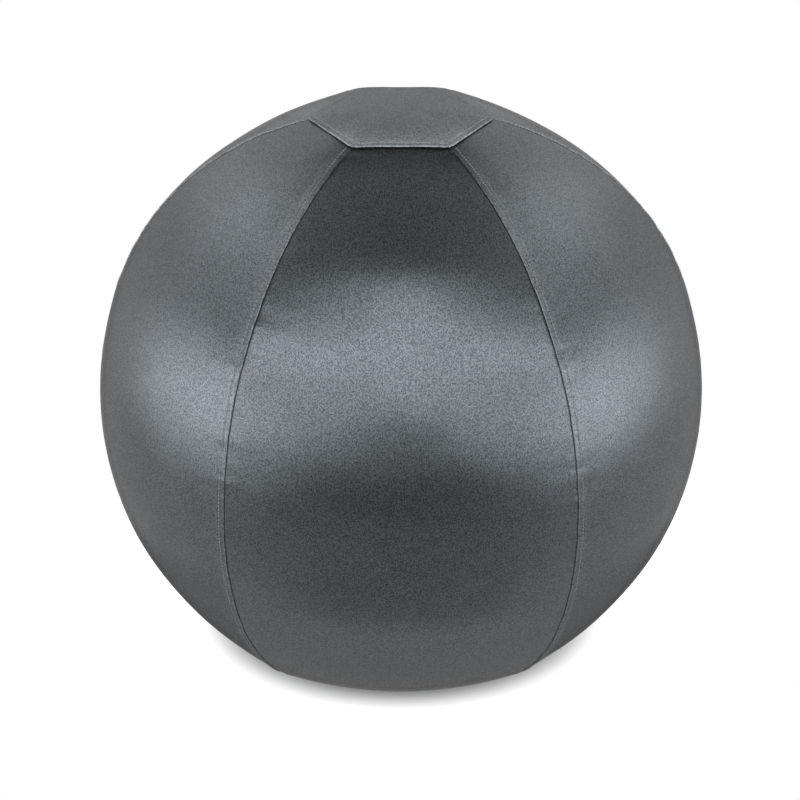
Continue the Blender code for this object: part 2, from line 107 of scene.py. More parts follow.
# %% [markdown]
# ## Floor and backdrop
# A product shot on white needs a floor that stays white and still keeps the soft shadow under
# the ball. The floor here is a grey disc with true diffuse light, plus a glow that only camera,
# glossy and transmitted rays see, so the glow never lights the ball. The glow fades out in an oval
# below the ball, so the shadow there is partly the true shadow of the diffuse light and partly
# painted shadow, whose size and softness the oval sets. Glossy rays see only a share of the glow,
# and none of it near the ball. The backdrop is the world: white for the camera, and otherwise a
# few soft zones of grey, as a studio cove has them: the floor, the cove at three heights and the
# back.

# %% Helpers for shader nodes
def place_node(tree, kind, sockets=(), **settings):
    """A new shader node: each socket gets a value, or a link where the value is an output."""
    node = tree.nodes.new(kind)
    for setting, value in settings.items():
        setattr(node, setting, value)
    for socket, value in dict(sockets).items():
        if isinstance(value, bpy.types.NodeSocket):
            tree.links.new(value, node.inputs[socket])
        else:
            node.inputs[socket].default_value = value
    return node


def combine(tree, operation, first, second, label=""):
    """Two values joined by a sum, a product or the like."""
    sockets = {0: first, 1: second}
    node = place_node(tree, "ShaderNodeMath", sockets, operation=operation, label=label)
    return node.outputs[0]


def vector_math(tree, operation, *vectors):
    """A node that changes a vector, by another one where it needs that."""
    return place_node(tree, "ShaderNodeVectorMath", enumerate(vectors), operation=operation)


def ramp(tree, value, start, end, low=0.0, high=1.0, kind="LINEAR"):
    """A value that goes from low to high as another goes from start to end."""
    sockets = {"Value": value, "From Min": start, "From Max": end, "To Min": low, "To Max": high}
    node = place_node(tree, "ShaderNodeMapRange", sockets, interpolation_type=kind)
    return node.outputs["Result"]


def soft_step(tree, value, start, end, low=0.0, high=1.0):
    """The same, but smooth where it starts and ends."""
    return ramp(tree, value, start, end, low, high, "SMOOTHSTEP")


def seen_rays(tree, mirrored):
    """1 for camera and transmitted rays, and this share for glossy ones."""
    path = place_node(tree, "ShaderNodeLightPath").outputs
    straight = combine(tree, "MAXIMUM", path["Is Camera Ray"], path["Is Transmission Ray"])
    glossy = combine(tree, "MULTIPLY", path["Is Glossy Ray"], mirrored)
    return combine(tree, "MAXIMUM", straight, glossy)


# %% Floor
FLOOR_RADIUS = 0.46
FLOOR_LEVEL = -0.5 * MM
FLOOR_COLOUR = (0.41, 0.41, 0.41, 1)
# The glow fades out in this oval under the ball: painted shadow on top of the true shadow of the
# diffuse light.
SHADOW_SHAPE = (0.70, 1, 1)
SHADOW_EDGE = (0.135, 0.185)
MIRRORED_EDGE = (0.20, 0.36)
MIRRORED_GLOW = 0.19

bpy.ops.object.select_all(action="DESELECT")
bpy.ops.mesh.primitive_circle_add(
    vertices=128, radius=FLOOR_RADIUS, fill_type="NGON", location=(0, 0, FLOOR_LEVEL)
)
floor = bpy.context.object
floor.name = "studio_floor"
floor_finish = bpy.data.materials.new("studio_floor_white")
floor_finish.use_nodes = True
tree = floor_finish.node_tree
tree.nodes.clear()
spot = place_node(tree, "ShaderNodeTexCoord").outputs["Object"]
oval = vector_math(tree, "MULTIPLY", spot, SHADOW_SHAPE).outputs[0]
away = vector_math(tree, "LENGTH", oval).outputs["Value"]
# no glow in the oval under the ball, which paints the shadow's size and softness
glow = soft_step(tree, away, *SHADOW_EDGE)
mirrored = soft_step(tree, away, *MIRRORED_EDGE, 0.0, MIRRORED_GLOW)
strength = combine(tree, "MULTIPLY", glow, seen_rays(tree, mirrored))
lit = place_node(tree, "ShaderNodeBsdfDiffuse", {"Color": FLOOR_COLOUR})
shine = place_node(tree, "ShaderNodeEmission", {"Strength": strength})
both = place_node(tree, "ShaderNodeAddShader", {0: lit.outputs[0], 1: shine.outputs[0]})
place_node(tree, "ShaderNodeOutputMaterial", {"Surface": both.outputs[0]})
floor.data.materials.append(floor_finish)
print("floor disc", FLOOR_RADIUS, "m in radius")

# %% Backdrop
WHITE = (1, 1, 1, 1)
ZONES = (
    # name, level, then where it begins: from in front (-1) to behind (1), and from below to above,
    # and last the height at which it ends
    ("floor", 0.34, (-1.3, -1.1), (-1.3, -1.1), (-0.40, -0.10)),
    ("cove_low", 0.42, (-0.80, -0.35), (-1.3, -1.1), (-0.10, 0.15)),
    ("cove_high", 0.75, (-0.70, -0.20), (-0.10, 0.15), (0.40, 0.75)),
    ("cove_rim", 0.10, (-0.45, 0.05), (0.64, 0.80), (0.86, 0.97)),
    ("back", 0.95, (0.45, 0.90), (0.05, 0.30), (0.55, 0.80)),
)
SCREEN_BACK = (0.1, 0.5)
SCREEN_TOP = (0.4, 0.6)

world = bpy.data.worlds.new("studio_backdrop")
bpy.context.scene.world = world
world.use_nodes = True
tree = world.node_tree
tree.nodes.clear()
way = place_node(tree, "ShaderNodeTexCoord").outputs["Generated"]
upwards = place_node(tree, "ShaderNodeSeparateXYZ", {0: way}).outputs["Z"]
level_way = vector_math(tree, "MULTIPLY", way, (1, 1, 0)).outputs[0]
level_way = vector_math(tree, "NORMALIZE", level_way).outputs[0]
backwards = place_node(tree, "ShaderNodeSeparateXYZ", {0: level_way}).outputs["Y"]
studio = None
for name, level, back, rise, fall in ZONES:
    share = soft_step(tree, upwards, *fall, 1.0, 0.0)
    for edge in (soft_step(tree, upwards, *rise), soft_step(tree, backwards, *back)):
        share = combine(tree, "MULTIPLY", share, edge)
    zone = combine(tree, "MULTIPLY", share, level, label=name)
    studio = zone if studio is None else combine(tree, "ADD", studio, zone)
below_top = soft_step(tree, upwards, *SCREEN_TOP, 1.0, 0.0)
screen = combine(tree, "MULTIPLY", soft_step(tree, backwards, *SCREEN_BACK), below_top)
strength = combine(tree, "MAXIMUM", seen_rays(tree, screen), studio)
shine = place_node(tree, "ShaderNodeBackground", {"Color": WHITE, "Strength": strength})
place_node(tree, "ShaderNodeOutputWorld", {"Surface": shine.outputs[0]})
print("backdrop of", len(ZONES), "zones")

# %% [markdown]
# ## Soft lamps
# Satin shows its lamps as broad bands, so where they stand matters more than how bright they
# are. Two softboxes hang one above the other in front, a high and a low one stand to each side of
# the camera, a wide one low at each side and a long one behind each shoulder of the ball. They are
# plain area lamps that face the ball, and each pair is written once and hung twice. The wide ones
# are tilted, so that their bands slope up the sides of the ball as they do in the photograph.

# %% Lamps
LAMP_DISTANCE = 2.0
LAMPS = (
    # name, azimuth, elevation and tilt in degrees, width and height in metres, watts
    ("high_front", 0, 58.5, 0, 0.50, 0.57, 6.2),
    ("front", 0, 38, 0, 0.50, 1.05, 9.0),
    ("near_high", 40, 36, 0, 0.50, 0.46, 4.9),
    ("near_side", 32, 18, 0, 0.85, 0.85, 4.8),
    ("far_side", 68, 6, 18, 1.50, 1.00, 17.2),
    ("behind", 106, 46, 0, 1.20, 0.78, 4.9),
)


def hang_lamp(name, azimuth, elevation, tilt, width, height, watts):
    """A softbox that faces the middle of the ball, its end at local +X tilted up."""
    level = math.cos(math.radians(elevation)) * heading(math.radians(azimuth))
    way_out = level + math.sin(math.radians(elevation)) * UP
    bpy.ops.object.light_add(type="AREA", location=ball_middle + LAMP_DISTANCE * way_out)
    lamp = bpy.context.object
    lamp.name = "lamp_" + name
    lamp.rotation_euler = (-way_out).to_track_quat("-Z", "Y").to_euler()
    lamp.rotation_euler.rotate_axis("Z", math.radians(tilt))
    lamp.data.shape = "RECTANGLE"
    lamp.data.size, lamp.data.size_y, lamp.data.energy = width, height, watts
    lamp.visible_camera = False


for name, azimuth, elevation, tilt, *size_and_watts in LAMPS:
    for side, end in ((1, "_right"), (-1, "_left")) if azimuth else ((1, ""),):
        hang_lamp(name + end, side * azimuth, elevation, side * tilt, *size_and_watts)

# %% [markdown]
# ## The surface of the cover
# Every sewn piece lies on one surface, so that surface is written once: a sphere whose seams
# stand a little proud of the middle of the gores, because air pushes each gore flat across its
# width. The formulas are those of the solids, and the zip holds its own seam to a true arc that a
# slider can run along. Only the far side of the cap stands a little higher here, as in the
# photograph, whose ball has a flat top. The formulas take arrays: one call places a whole sheet.

# %% Cover surface
SEAM_RIDGE = 4.8 * MM
SHOULDER = 3.0 * MM
SHOULDER_LATITUDE = math.acos(PANEL_SIDE / BALL_RADIUS)
SHOULDER_REACH = math.radians(8)
SHOULDER_BACK = (15 * MM, 70 * MM)
SHOULDER_MIDDLE = 0.8
ZIP_SEAM = 2
ZIP_TOP = math.radians(-4)
ZIP_BOTTOM = math.radians(-60)
ZIP_CENTRE = Vector((12.1557 * MM, -11.8030 * MM))
ZIP_RADIUS = 312.3347 * MM
ZIP_ROOM = 3.9 * MM


def smooth_step(value, start, end):
    """0 before start, 1 after end, and an even S between them."""
    share = np.clip((value - start) / (end - start), 0, 1)
    return share**2 * (3 - 2 * share)


def bell(value, middle, width):
    """1 at the middle, and evenly less to both sides."""
    return np.exp(-(((value - middle) / width) ** 2))


def unit(vectors):
    return vectors / np.linalg.norm(vectors, axis=-1, keepdims=True)


def ways_out(azimuth, latitude):
    """Unit directions from the middle of the ball."""
    level = np.cos(latitude)
    return np.stack((level * np.sin(azimuth), -level * np.cos(azimuth), np.sin(latitude)), axis=-1)


def seam_lift(seam, latitude):
    """How far a seam stands proud of the middle of its gores."""
    sewn = SEAM_RIDGE * np.sin(2 * latitude) ** 2
    along = np.cos(latitude) * ZIP_CENTRE.x + np.sin(latitude) * ZIP_CENTRE.y
    reach = along + np.sqrt(ZIP_RADIUS**2 - ZIP_CENTRE.length_squared + along**2)
    zipped = (seam == ZIP_SEAM) & (latitude > ZIP_BOTTOM) & (latitude < ZIP_TOP)
    return np.where(zipped, reach - BALL_RADIUS, sewn)


def cover_points(azimuth, latitude, out, one_cloth=False):
    """Points this far outside the cover, no lower than where its hems lie flat."""
    gore = np.round(azimuth / GORE_ANGLE)
    share = 2 * (azimuth / GORE_ANGLE - gore)
    seam = np.where(share > 0, gore, gore - 1) % len(GORES)
    profile = np.sin(share * math.pi / 2) ** 2 if one_cloth else share**2
    at_hem = bell(latitude, SHOULDER_LATITUDE, SHOULDER_REACH)
    behind = smooth_step(-BALL_RADIUS * np.cos(latitude) * np.cos(azimuth), *SHOULDER_BACK)
    shoulder = SHOULDER * at_hem * behind * (SHOULDER_MIDDLE + (1 - SHOULDER_MIDDLE) * profile)
    reach = BALL_RADIUS + seam_lift(seam, latitude) * profile + shoulder + out
    points = ways_out(azimuth, latitude) * reach[..., None]
    points[..., 2] = np.maximum(points[..., 2] + BALL_HEIGHT, HEM_LEVEL + np.maximum(0, -out))
    return points


top_of_front = cover_points(np.array([0.0]), np.array([math.pi / 2]), np.array([0.0]))[0]
print("top of the bare cover", round(float(top_of_front[2]), 4), "m")

# %% [markdown]
# ## How the sewn edges are shaped
# Each gore lies over the one in front of it. The upper edge is folded under and topstitched, and
# the lower one dives beneath it. The fold is round, the band up to the stitching stands up by the
# thickness of the cloth below, and the thread pulls a narrow valley. Modelling this as a height
# over the distance from the edge gives real shadows where a bump map would give none.

# %% Edge shapes
FOLD_RADIUS = 0.6 * MM
FOLD_WALL = (0.8 * MM, 2.0 * MM)
FOLD_WALL_RISE = (3.5 * MM, 9 * MM)
ROLL_SHARE = 0.7
BAND_LIFT = 0.4 * MM
BAND_END = (6.5 * MM, 12 * MM)
STITCH_INSET = 5.5 * MM
VALLEY_DEPTH = 0.22 * MM
VALLEY_WIDTH = 1.0 * MM
TUCK_WIDTH = 3.0 * MM
TUCK_DEPTH = 0.75 * MM
TUCK_END = (-1 * MM, 2.5 * MM)
TUCK_WALL = (0.7 * MM, 2.0 * MM)
TUCK_WALL_RISE = (0, 6 * MM)
WAVE_OFFSET = 2.3
WAVE_START = 1.7


def between(ends, share):
    """The value this share of the way from the first end to the second."""
    return ends[0] + (ends[1] - ends[0]) * share


def rolled(away):
    """How far the round of a fold falls away, this far from its edge."""
    inside = np.clip(FOLD_RADIUS - away, 0, FOLD_RADIUS)
    return FOLD_RADIUS - np.sqrt(FOLD_RADIUS**2 - inside**2)


def folded_edge(away):
    """Height and wall of a folded, topstitched edge, this far from the fold."""
    band = BAND_LIFT * (1 - smooth_step(away, *BAND_END))
    valley = VALLEY_DEPTH * bell(away, STITCH_INSET, VALLEY_WIDTH)
    wall = between(FOLD_WALL, smooth_step(away, *FOLD_WALL_RISE))
    return band - valley - rolled(away), wall - ROLL_SHARE * rolled(away)


def tucked_edge(away):
    """Height and wall of an edge that dives under its neighbour, this far from its end."""
    from_seam = away - TUCK_WIDTH
    dip = TUCK_DEPTH * (1 - smooth_step(from_seam, *TUCK_END))
    return -dip, between(TUCK_WALL, smooth_step(from_seam, *TUCK_WALL_RISE))


def uneven_wave(length, waves, seed):
    """A wave along a line whose size keeps changing, between about -1 and 1."""
    total = np.zeros_like(length)
    for order, wave in enumerate(waves):
        start = (seed + 1) * (order + WAVE_OFFSET) * WAVE_START
        total += np.sin(math.tau * length / wave + start)
    return total / len(waves)


print("a fold stands", round(float(folded_edge(np.array([3 * MM]))[0][0] / MM), 2), "mm proud")

# %% [markdown]
# ## How the cloth pulls
# Sewn cloth is never even. The thread draws small puckers across each seam, the seams draw longer
# ones where the cover closes in towards the base, and the cloth swells a little between them. All
# of these are heights over the smooth cover, and they die away under the cap and the base. The
# same formulas give each spot its painted light and wear: folds get a pale painted highlight,
# partly wear, which counts up from 0, and the hollows beside the seams and below the cap get
# painted shade, which counts down.

# %% Swell, painted light and wear
SWELL = 0.0875 * MM
SWELL_COUNT = 10
SWELL_SPAN = (70 * MM, 150 * MM)
PUCKER_REACH = 4 * MM
# A pale painted highlight, partly wear, on the folds of the seams and along their stitching.
FOLD_HIGHLIGHT_REACH = 0.9 * MM
SEAM_FOLD_HIGHLIGHT = 0.85
SEAM_FRONT_HIGHLIGHT_CUT = 0.5

swell_draw = np.random.default_rng(11)
SWELL_WAYS = unit(swell_draw.normal(size=(SWELL_COUNT, 3)))
SWELL_LENGTHS = swell_draw.uniform(*SWELL_SPAN, SWELL_COUNT)
SWELL_STARTS = swell_draw.uniform(0, math.tau, SWELL_COUNT)


def swell(azimuth, latitude):
    """Slow ups and downs of the cloth."""
    turns = SWELL_WAYS * math.tau / SWELL_LENGTHS[:, None]
    phase = ways_out(azimuth, latitude) * BALL_RADIUS @ turns.T
    return SWELL * np.sin(phase + SWELL_STARTS).sum(axis=-1)


def at_stitching(away):
    """1 along the line of stitching, fading to both sides of it."""
    return bell(away, STITCH_INSET, PUCKER_REACH)


def edge_highlight_and_wear(away, fold_highlight, stitched):
    """Painted highlight and wear: most on the fold itself, a little along the stitching."""
    return fold_highlight * np.exp(-away / FOLD_HIGHLIGHT_REACH) + stitched * at_stitching(away)


def seam_fold_highlight(seam):
    """How strong a seam fold's painted highlight and wear are: least on the two front seams."""
    return SEAM_FOLD_HIGHLIGHT - SEAM_FRONT_HIGHLIGHT_CUT * max(0, math.cos((seam + 0.5) * GORE_ANGLE))


print("front seams rubbed", round(seam_fold_highlight(0), 2), "and back ones", round(seam_fold_highlight(2), 2))

# %% Height of the sewn cloth
HEM_LAP = 12 * MM
HEM_EASE = (1 * MM, 16 * MM)
UPPER_GORES = (1, 2, 3, 3, 4, 5)
ZIP_BLEND = math.radians(0.6)
PUCKER = 0.16 * MM
PUCKER_WAVES = (6.9 * MM, 9.7 * MM, 13.3 * MM)
DRAW = (0.385 * MM, 1.1 * MM)
DRAW_FALL = (math.radians(15), math.radians(48))
DRAW_REACH = 16 * MM
DRAW_WAVES = (21 * MM, 33 * MM, 47 * MM)
# Painted shade in the hollow beside each seam, wider and darker towards the top.
GROOVE_SHADE_WIDTH = 1.0 * MM
GROOVE_SHADE_GAPE = 1.2
GROOVE_SHADE = (0.4, 1.0)
GROOVE_SHADE_RISE = (math.radians(15), math.radians(45))
STITCHING_HIGHLIGHT_AND_WEAR = 0.06
# Painted shade on the front gores below the cap's hem.
HEM_SHADE = 0.9
HEM_SHADE_REACH = 32 * MM
HEM_SHADE_FRONT = (0.55, 0.9)


def seam_beside(gore, side):
    """The seam on one side of a gore."""
    return (gore if side > 0 else gore - 1) % len(GORES)


def zip_share(seam, latitude):
    """1 along the zip, 0 on a sewn seam."""
    if seam != ZIP_SEAM:
        return np.zeros_like(latitude)
    above = smooth_step(latitude, ZIP_BOTTOM - ZIP_BLEND, ZIP_BOTTOM)
    return above * (1 - smooth_step(latitude, ZIP_TOP, ZIP_TOP + ZIP_BLEND))


def past_hem(turn, latitude):
    """Distance beyond the straight sides of the cap and the base."""
    return BALL_RADIUS * np.cos(latitude) * np.cos(turn) - PANEL_APOTHEM


def cloth_height(gore, side, turn, latitude, away):
    """Height, wall, painted light and wear of a gore's cloth, this far from its edge on one side.
    """
    seam = seam_beside(gore, side)
    azimuth = gore * GORE_ANGLE + turn
    folded = np.maximum(float(UPPER_GORES[seam] == gore), zip_share(seam, latitude))
    height, wall = (
        folded * upper + (1 - folded) * lower
        for upper, lower in zip(folded_edge(away), tucked_edge(away))
    )
    along = BALL_RADIUS * latitude
    pucker = uneven_wave(along, PUCKER_WAVES, 2 * seam + (side > 0))
    height = height + PUCKER * at_stitching(away) * pucker
    from_seam = np.clip(away - TUCK_WIDTH, 0, 1)
    draw = between(DRAW, smooth_step(-latitude, *DRAW_FALL)) * np.exp(-from_seam / DRAW_REACH)
    height = height + draw * uneven_wave(along, DRAW_WAVES, 2 * seam)
    height = height + swell(azimuth, latitude)
    beyond = past_hem(turn, latitude)
    height = np.maximum(height, 0) * smooth_step(beyond, *HEM_EASE) + np.minimum(height, 0)
    # painted shade beside the seam, where the lower gore dives under
    groove_shade = bell(from_seam, 0, GROOVE_SHADE_WIDTH * (1 + GROOVE_SHADE_GAPE * np.sin(latitude)))
    groove_shade = groove_shade * between(GROOVE_SHADE, smooth_step(latitude, *GROOVE_SHADE_RISE))
    # painted shade below the cap's hem, on the front only
    shade = HEM_SHADE * bell(np.clip(beyond, 0, 1), 0, HEM_SHADE_REACH)
    shade = shade * smooth_step(np.cos(azimuth), *HEM_SHADE_FRONT)
    # pale painted highlight on the fold, partly wear; the tucked side gets painted shade in its
    # hollow
    highlight_and_wear = edge_highlight_and_wear(away, seam_fold_highlight(seam), STITCHING_HIGHLIGHT_AND_WEAR)
    return height, wall, folded * highlight_and_wear - (1 - folded) * groove_shade - shade


print("upper gores", [GORES[gore] for gore in UPPER_GORES])

# %% [markdown]
# ## A grid for each gore
# A gore starts as a flat grid, as a plane with many cuts would, and every corner is then moved
# to its place on the cover. Columns crowd near the two edges, where the fold, the band and the
# stitch valley need them, and lie far apart in the middle. The end rows follow the hexagons of the
# cap and the base, so the shape of a row depends on its columns, and a few rounds settle both.

# %% Gore grid
EDGE_COLUMNS = np.array(
    (0, 0.12, 0.35, 0.7, 1.2, 2.0, 3.0, 3.8, 4.4, 4.8, 5.2, 5.5, 5.8, 6.2, 6.6, 7.2, 8.2, 9.8, 12)
) * MM
MIDDLE_COLUMNS = 12
GORE_ROWS = 480
ROUNDS = 4
SEAM_ROOM = 0.2 * MM


def edge_turn(gore, side, latitude):
    """Turn from the middle of a gore to its edge, and the radius of the ring there.

    The edge stops a little short of the seam, or passes it where it is tucked under.
    """
    seam = seam_beside(gore, side)
    sewn = SEAM_ROOM if UPPER_GORES[seam] == gore else -TUCK_WIDTH
    room = sewn + (ZIP_ROOM - sewn) * zip_share(seam, latitude)
    ring = BALL_RADIUS * np.cos(latitude)
    return GORE_ANGLE / 2 - np.arcsin(room / ring), ring


def gore_end(turn):
    """Latitude at which a gore ends under the cap."""
    return np.arccos((PANEL_APOTHEM - HEM_LAP) / np.cos(turn) / BALL_RADIUS)


def half_gore(gore, side, rows):
    """Turn, latitude and distance from the edge of half a gore's grid, from its middle out."""
    share = np.linspace(0, 1, MIDDLE_COLUMNS + len(EDGE_COLUMNS))[:, None] + np.zeros_like(rows)
    for _ in range(ROUNDS):
        latitude = gore_end(share * GORE_ANGLE / 2) * rows
        edge, ring = edge_turn(gore, side, latitude)
        band = (edge - EDGE_COLUMNS[-1] / ring)[:MIDDLE_COLUMNS]
        middle = band * np.arange(MIDDLE_COLUMNS)[:, None] / MIDDLE_COLUMNS
        outer = edge[MIDDLE_COLUMNS:] - EDGE_COLUMNS[::-1, None] / ring[MIDDLE_COLUMNS:]
        turn = np.concatenate((middle, outer))
        share = turn / (GORE_ANGLE / 2)
    return side * turn, latitude, (edge - turn) * ring


gore_rows = np.linspace(-1, 1, GORE_ROWS + 1)[None, :]

# %% [markdown]
# ## From grid to cloth
# Each corner knows its column and row, so its place, its wall thickness and its painted light and
# wear are looked up in arrays. A UV map in metres follows the threads: U runs across the gore and
# V along it, which is what the satin's sheen and weave need. Solidify then gives the wall, thinner
# where a vertex group says that an edge is tucked or folded.

# %% Helpers for sheets
WELD = 0.01 * MM
SMOOTH_CLOTH = math.radians(50)


def flat_grid(name, columns, rows):
    """A flat grid of faces, and the column and row of each of its corners."""
    bpy.ops.object.select_all(action="DESELECT")
    bpy.ops.mesh.primitive_grid_add(x_subdivisions=columns, y_subdivisions=rows, size=2)
    piece = bpy.context.object
    piece.name = name
    piece.data.name = name
    flat = np.empty(3 * len(piece.data.vertices))
    piece.data.vertices.foreach_get("co", flat)
    flat = (flat.reshape(-1, 3) + 1) / 2
    return piece, np.rint(flat[:, 0] * columns).astype(int), np.rint(flat[:, 1] * rows).astype(int)


def dress_sheet(piece, points, threads, painted_light_and_wear):
    """Moves a grid's corners into place and keeps their thread directions, painted light and wear.
    """
    mesh = piece.data
    mesh.vertices.foreach_set("co", points.ravel())
    corner_of = np.empty(len(mesh.loops), dtype=int)
    mesh.loops.foreach_get("vertex_index", corner_of)
    weave = mesh.uv_layers[0]
    weave.name = "weave"
    weave.uv.foreach_set("vector", threads[corner_of].ravel())
    mesh.attributes.new("painted_light_and_wear", "FLOAT", "POINT").data.foreach_set("value", painted_light_and_wear)
    mesh.update()


def choose(piece):
    """Makes a piece the one that operators act on."""
    bpy.ops.object.select_all(action="DESELECT")
    bpy.context.view_layer.objects.active = piece
    piece.select_set(True)


def apply_modifiers(piece):
    choose(piece)
    for modifier in list(piece.modifiers):
        bpy.ops.object.modifier_apply(modifier=modifier.name)


def thicken(piece, thickness, offset=-1, group=""):
    """Gives a surface its wall, inwards unless the offset says otherwise."""
    solidify = piece.modifiers.new("wall", "SOLIDIFY")
    solidify.thickness = thickness
    solidify.offset = offset
    solidify.vertex_group = group
    apply_modifiers(piece)


def give_wall(piece, wall, wrapped):
    """Thickens a sheet by its own wall at each corner, once a wrapped one is sewn shut."""
    group = piece.vertex_groups.new(name="wall")
    for index, share in enumerate(wall / wall.max()):
        group.add([index], float(share), "REPLACE")
    if wrapped:
        choose(piece)
        bpy.ops.object.mode_set(mode="EDIT")
        bpy.ops.mesh.select_all(action="SELECT")
        bpy.ops.mesh.remove_doubles(threshold=WELD)
        bpy.ops.object.mode_set(mode="OBJECT")
    thicken(piece, float(wall.max()), group="wall")
    piece.vertex_groups.clear()
    bpy.ops.object.shade_smooth_by_angle(angle=SMOOTH_CLOTH)


def make_sheet(name, points, threads, painted_light_and_wear, wall, wrapped=False):
    """A sheet of cloth from arrays that hold a value for each column and row."""
    piece, column, row = flat_grid(name, points.shape[0] - 1, points.shape[1] - 1)
    dress_sheet(piece, points[column, row], threads[column, row], painted_light_and_wear[column, row])
    give_wall(piece, wall[column, row], wrapped)
    print(name, len(piece.data.polygons), "faces")
    return piece


# %% Gores
gore_cloths = {}
for gore, word in enumerate(GORES):
    halves = []
    for side in (-1, 1):
        turn, latitude, away = half_gore(gore, side, gore_rows)
        halves.append((turn, latitude, *cloth_height(gore, side, turn, latitude, away)))
    turn, latitude, height, wall, painted_light_and_wear = (
        np.concatenate((left[:0:-1], right)) for left, right in zip(*halves)
    )
    points = cover_points(gore * GORE_ANGLE + turn, latitude, height)
    way = ways_out(turn, latitude)
    threads = np.stack((np.arcsin(way[..., 0]), np.arctan2(way[..., 2], -way[..., 1])), axis=-1)
    cloth_name = f"gore_{word}_cloth"
    gore_cloths[word] = make_sheet(cloth_name, points, BALL_RADIUS * threads, painted_light_and_wear, wall)

# %% [markdown]
# ## Cap and base
# Both are hexagons with a folded, topstitched hem. A grid can be wrapped into a disc: columns run
# round it, rows run between the hem and the middle, one row closes to a point and the two end
# columns meet. Merging by distance then sews it shut. The cap lies on the gores and sinks a
# little in the middle, and its threads run sideways, which is why its sheen differs from theirs.
# Air pushes its sides out, so they bow a little beyond the straight hexagon. Its front is painted
# with light: a pale painted highlight on the fold and along the stitching, painted shadow in the
# gap between the two, and paler cloth behind the front hem.

# %% Hexagons with a hem
HEM_COLUMNS = 40 * len(GORES)
HEM_MIDDLE = 16
HEM_CORNER = 1.6 * MM
HEM_CORNER_START = math.radians(26)
HEM_PUCKER = 0.12 * MM
HEM_WAVES = (7.854 * MM, 11.781 * MM, 15.708 * MM)
HEM_SEED = 5


def hexagon_rows(side, insets, grow=0.0, bow=0.0):
    """Azimuth, distance from the axis and inset of hexagons nested inside the hem."""
    turn = np.arctan((2 * (side % 1) - 1) * math.tan(GORE_ANGLE / 2))
    azimuth = np.floor(side) * GORE_ANGLE + turn
    corner = HEM_CORNER * smooth_step(np.abs(turn), HEM_CORNER_START, GORE_ANGLE / 2)
    inwards = 1 - insets / PANEL_APOTHEM
    full = grow / np.cos(turn) + bow * (1 - (2 * turn / GORE_ANGLE) ** 2)
    reach = (PANEL_APOTHEM - insets) / np.cos(turn) + full * inwards
    reach = reach - corner * np.clip(1 - insets / EDGE_COLUMNS[-1], 0, 1)
    return azimuth + np.zeros_like(reach), reach, insets + np.zeros_like(reach)


def hem_puckers(azimuth, inset):
    """Small waves that the stitching draws along a hem."""
    line = PANEL_SIDE / GORE_ANGLE * azimuth
    return HEM_PUCKER * at_stitching(inset) * uneven_wave(line, HEM_WAVES, HEM_SEED)


beyond_hem = np.linspace(EDGE_COLUMNS[-1], PANEL_APOTHEM, HEM_MIDDLE + 1)[1:]
hem_insets = np.concatenate((EDGE_COLUMNS, beyond_hem))[None, :]
side_steps = np.arange(HEM_COLUMNS + 1)[:, None] / HEM_COLUMNS * len(GORES)
print("hem insets", hem_insets.size, "from 0 to", round(PANEL_APOTHEM / MM, 1), "mm")

# %% Cap
CAP_SAG = 0.8 * MM
CAP_WALL = 1.0 * MM
# Painted light on the cap's front: a pale highlight on the fold and the stitching, painted shadow
# in the gap between them, and paler cloth behind the hem, all less towards the back.
CAP_STITCHING_HIGHLIGHT = 0.32
CAP_STITCHING_HIGHLIGHT_WIDTH = 1.2 * MM
CAP_FRONT_LIGHT = 0.56
CAP_FRONT_LIGHT_REACH = 22 * MM
CAP_FOLD_HIGHLIGHT_FRONT = (-10 * MM, 45 * MM)
CAP_FRONT_LIGHT_SPAN = (25 * MM, 68 * MM)
CAP_BACK_LIGHT_SHARE = 0.15
CAP_GAP_SHADE = 0.26
CAP_GAP_SHADE_INSET = 2.8 * MM
CAP_GAP_SHADE_WIDTH = 1.3 * MM
CAP_GROW = 1.8 * MM
CAP_BOW = 1.5 * MM
CLEARANCE = 0.3 * MM


def cap_points(azimuth, reach, inset):
    """Points of the cap's upper face, which stands outside the gores."""
    hollow = np.clip(1 - reach / (PANEL_APOTHEM - HEM_LAP), 0, 1)
    sag = CAP_SAG * hollow**2 * (3 - 2 * hollow)
    height = CLEARANCE + CAP_WALL + folded_edge(inset)[0] + hem_puckers(azimuth, inset) - sag
    latitude = np.arccos(np.clip(reach / BALL_RADIUS, 0, 1))
    return cover_points(azimuth, latitude, height, one_cloth=True)


azimuth, reach, inset = hexagon_rows(side_steps, hem_insets, CAP_GROW, CAP_BOW)
points = cap_points(azimuth, reach, inset)
# painted highlight on the fold and stitching, painted shadow in the gap, and a paler front
fold_highlight, front_light = (
    between((CAP_BACK_LIGHT_SHARE, 1), smooth_step(reach * np.cos(azimuth), *front))
    for front in (CAP_FOLD_HIGHLIGHT_FRONT, CAP_FRONT_LIGHT_SPAN)
)
gap_shade = CAP_GAP_SHADE * bell(inset, CAP_GAP_SHADE_INSET, CAP_GAP_SHADE_WIDTH)
sewn = CAP_STITCHING_HIGHLIGHT * bell(inset, STITCH_INSET, CAP_STITCHING_HIGHLIGHT_WIDTH)
painted_light_and_wear = fold_highlight * (edge_highlight_and_wear(inset, 1.0, 0.0) + sewn - gap_shade)
painted_light_and_wear = painted_light_and_wear + front_light * CAP_FRONT_LIGHT * np.exp(-inset / CAP_FRONT_LIGHT_REACH)
wall = np.full_like(painted_light_and_wear, CAP_WALL)
cap = make_sheet("cap_cloth", points, points[..., [1, 0]], painted_light_and_wear, wall, wrapped=True)

# %% Base
BASE_THICKNESS = 2.2 * MM
BASE_VALLEY = 0.75 * MM
BASE_FOLD_HIGHLIGHT_AND_WEAR = 0.5


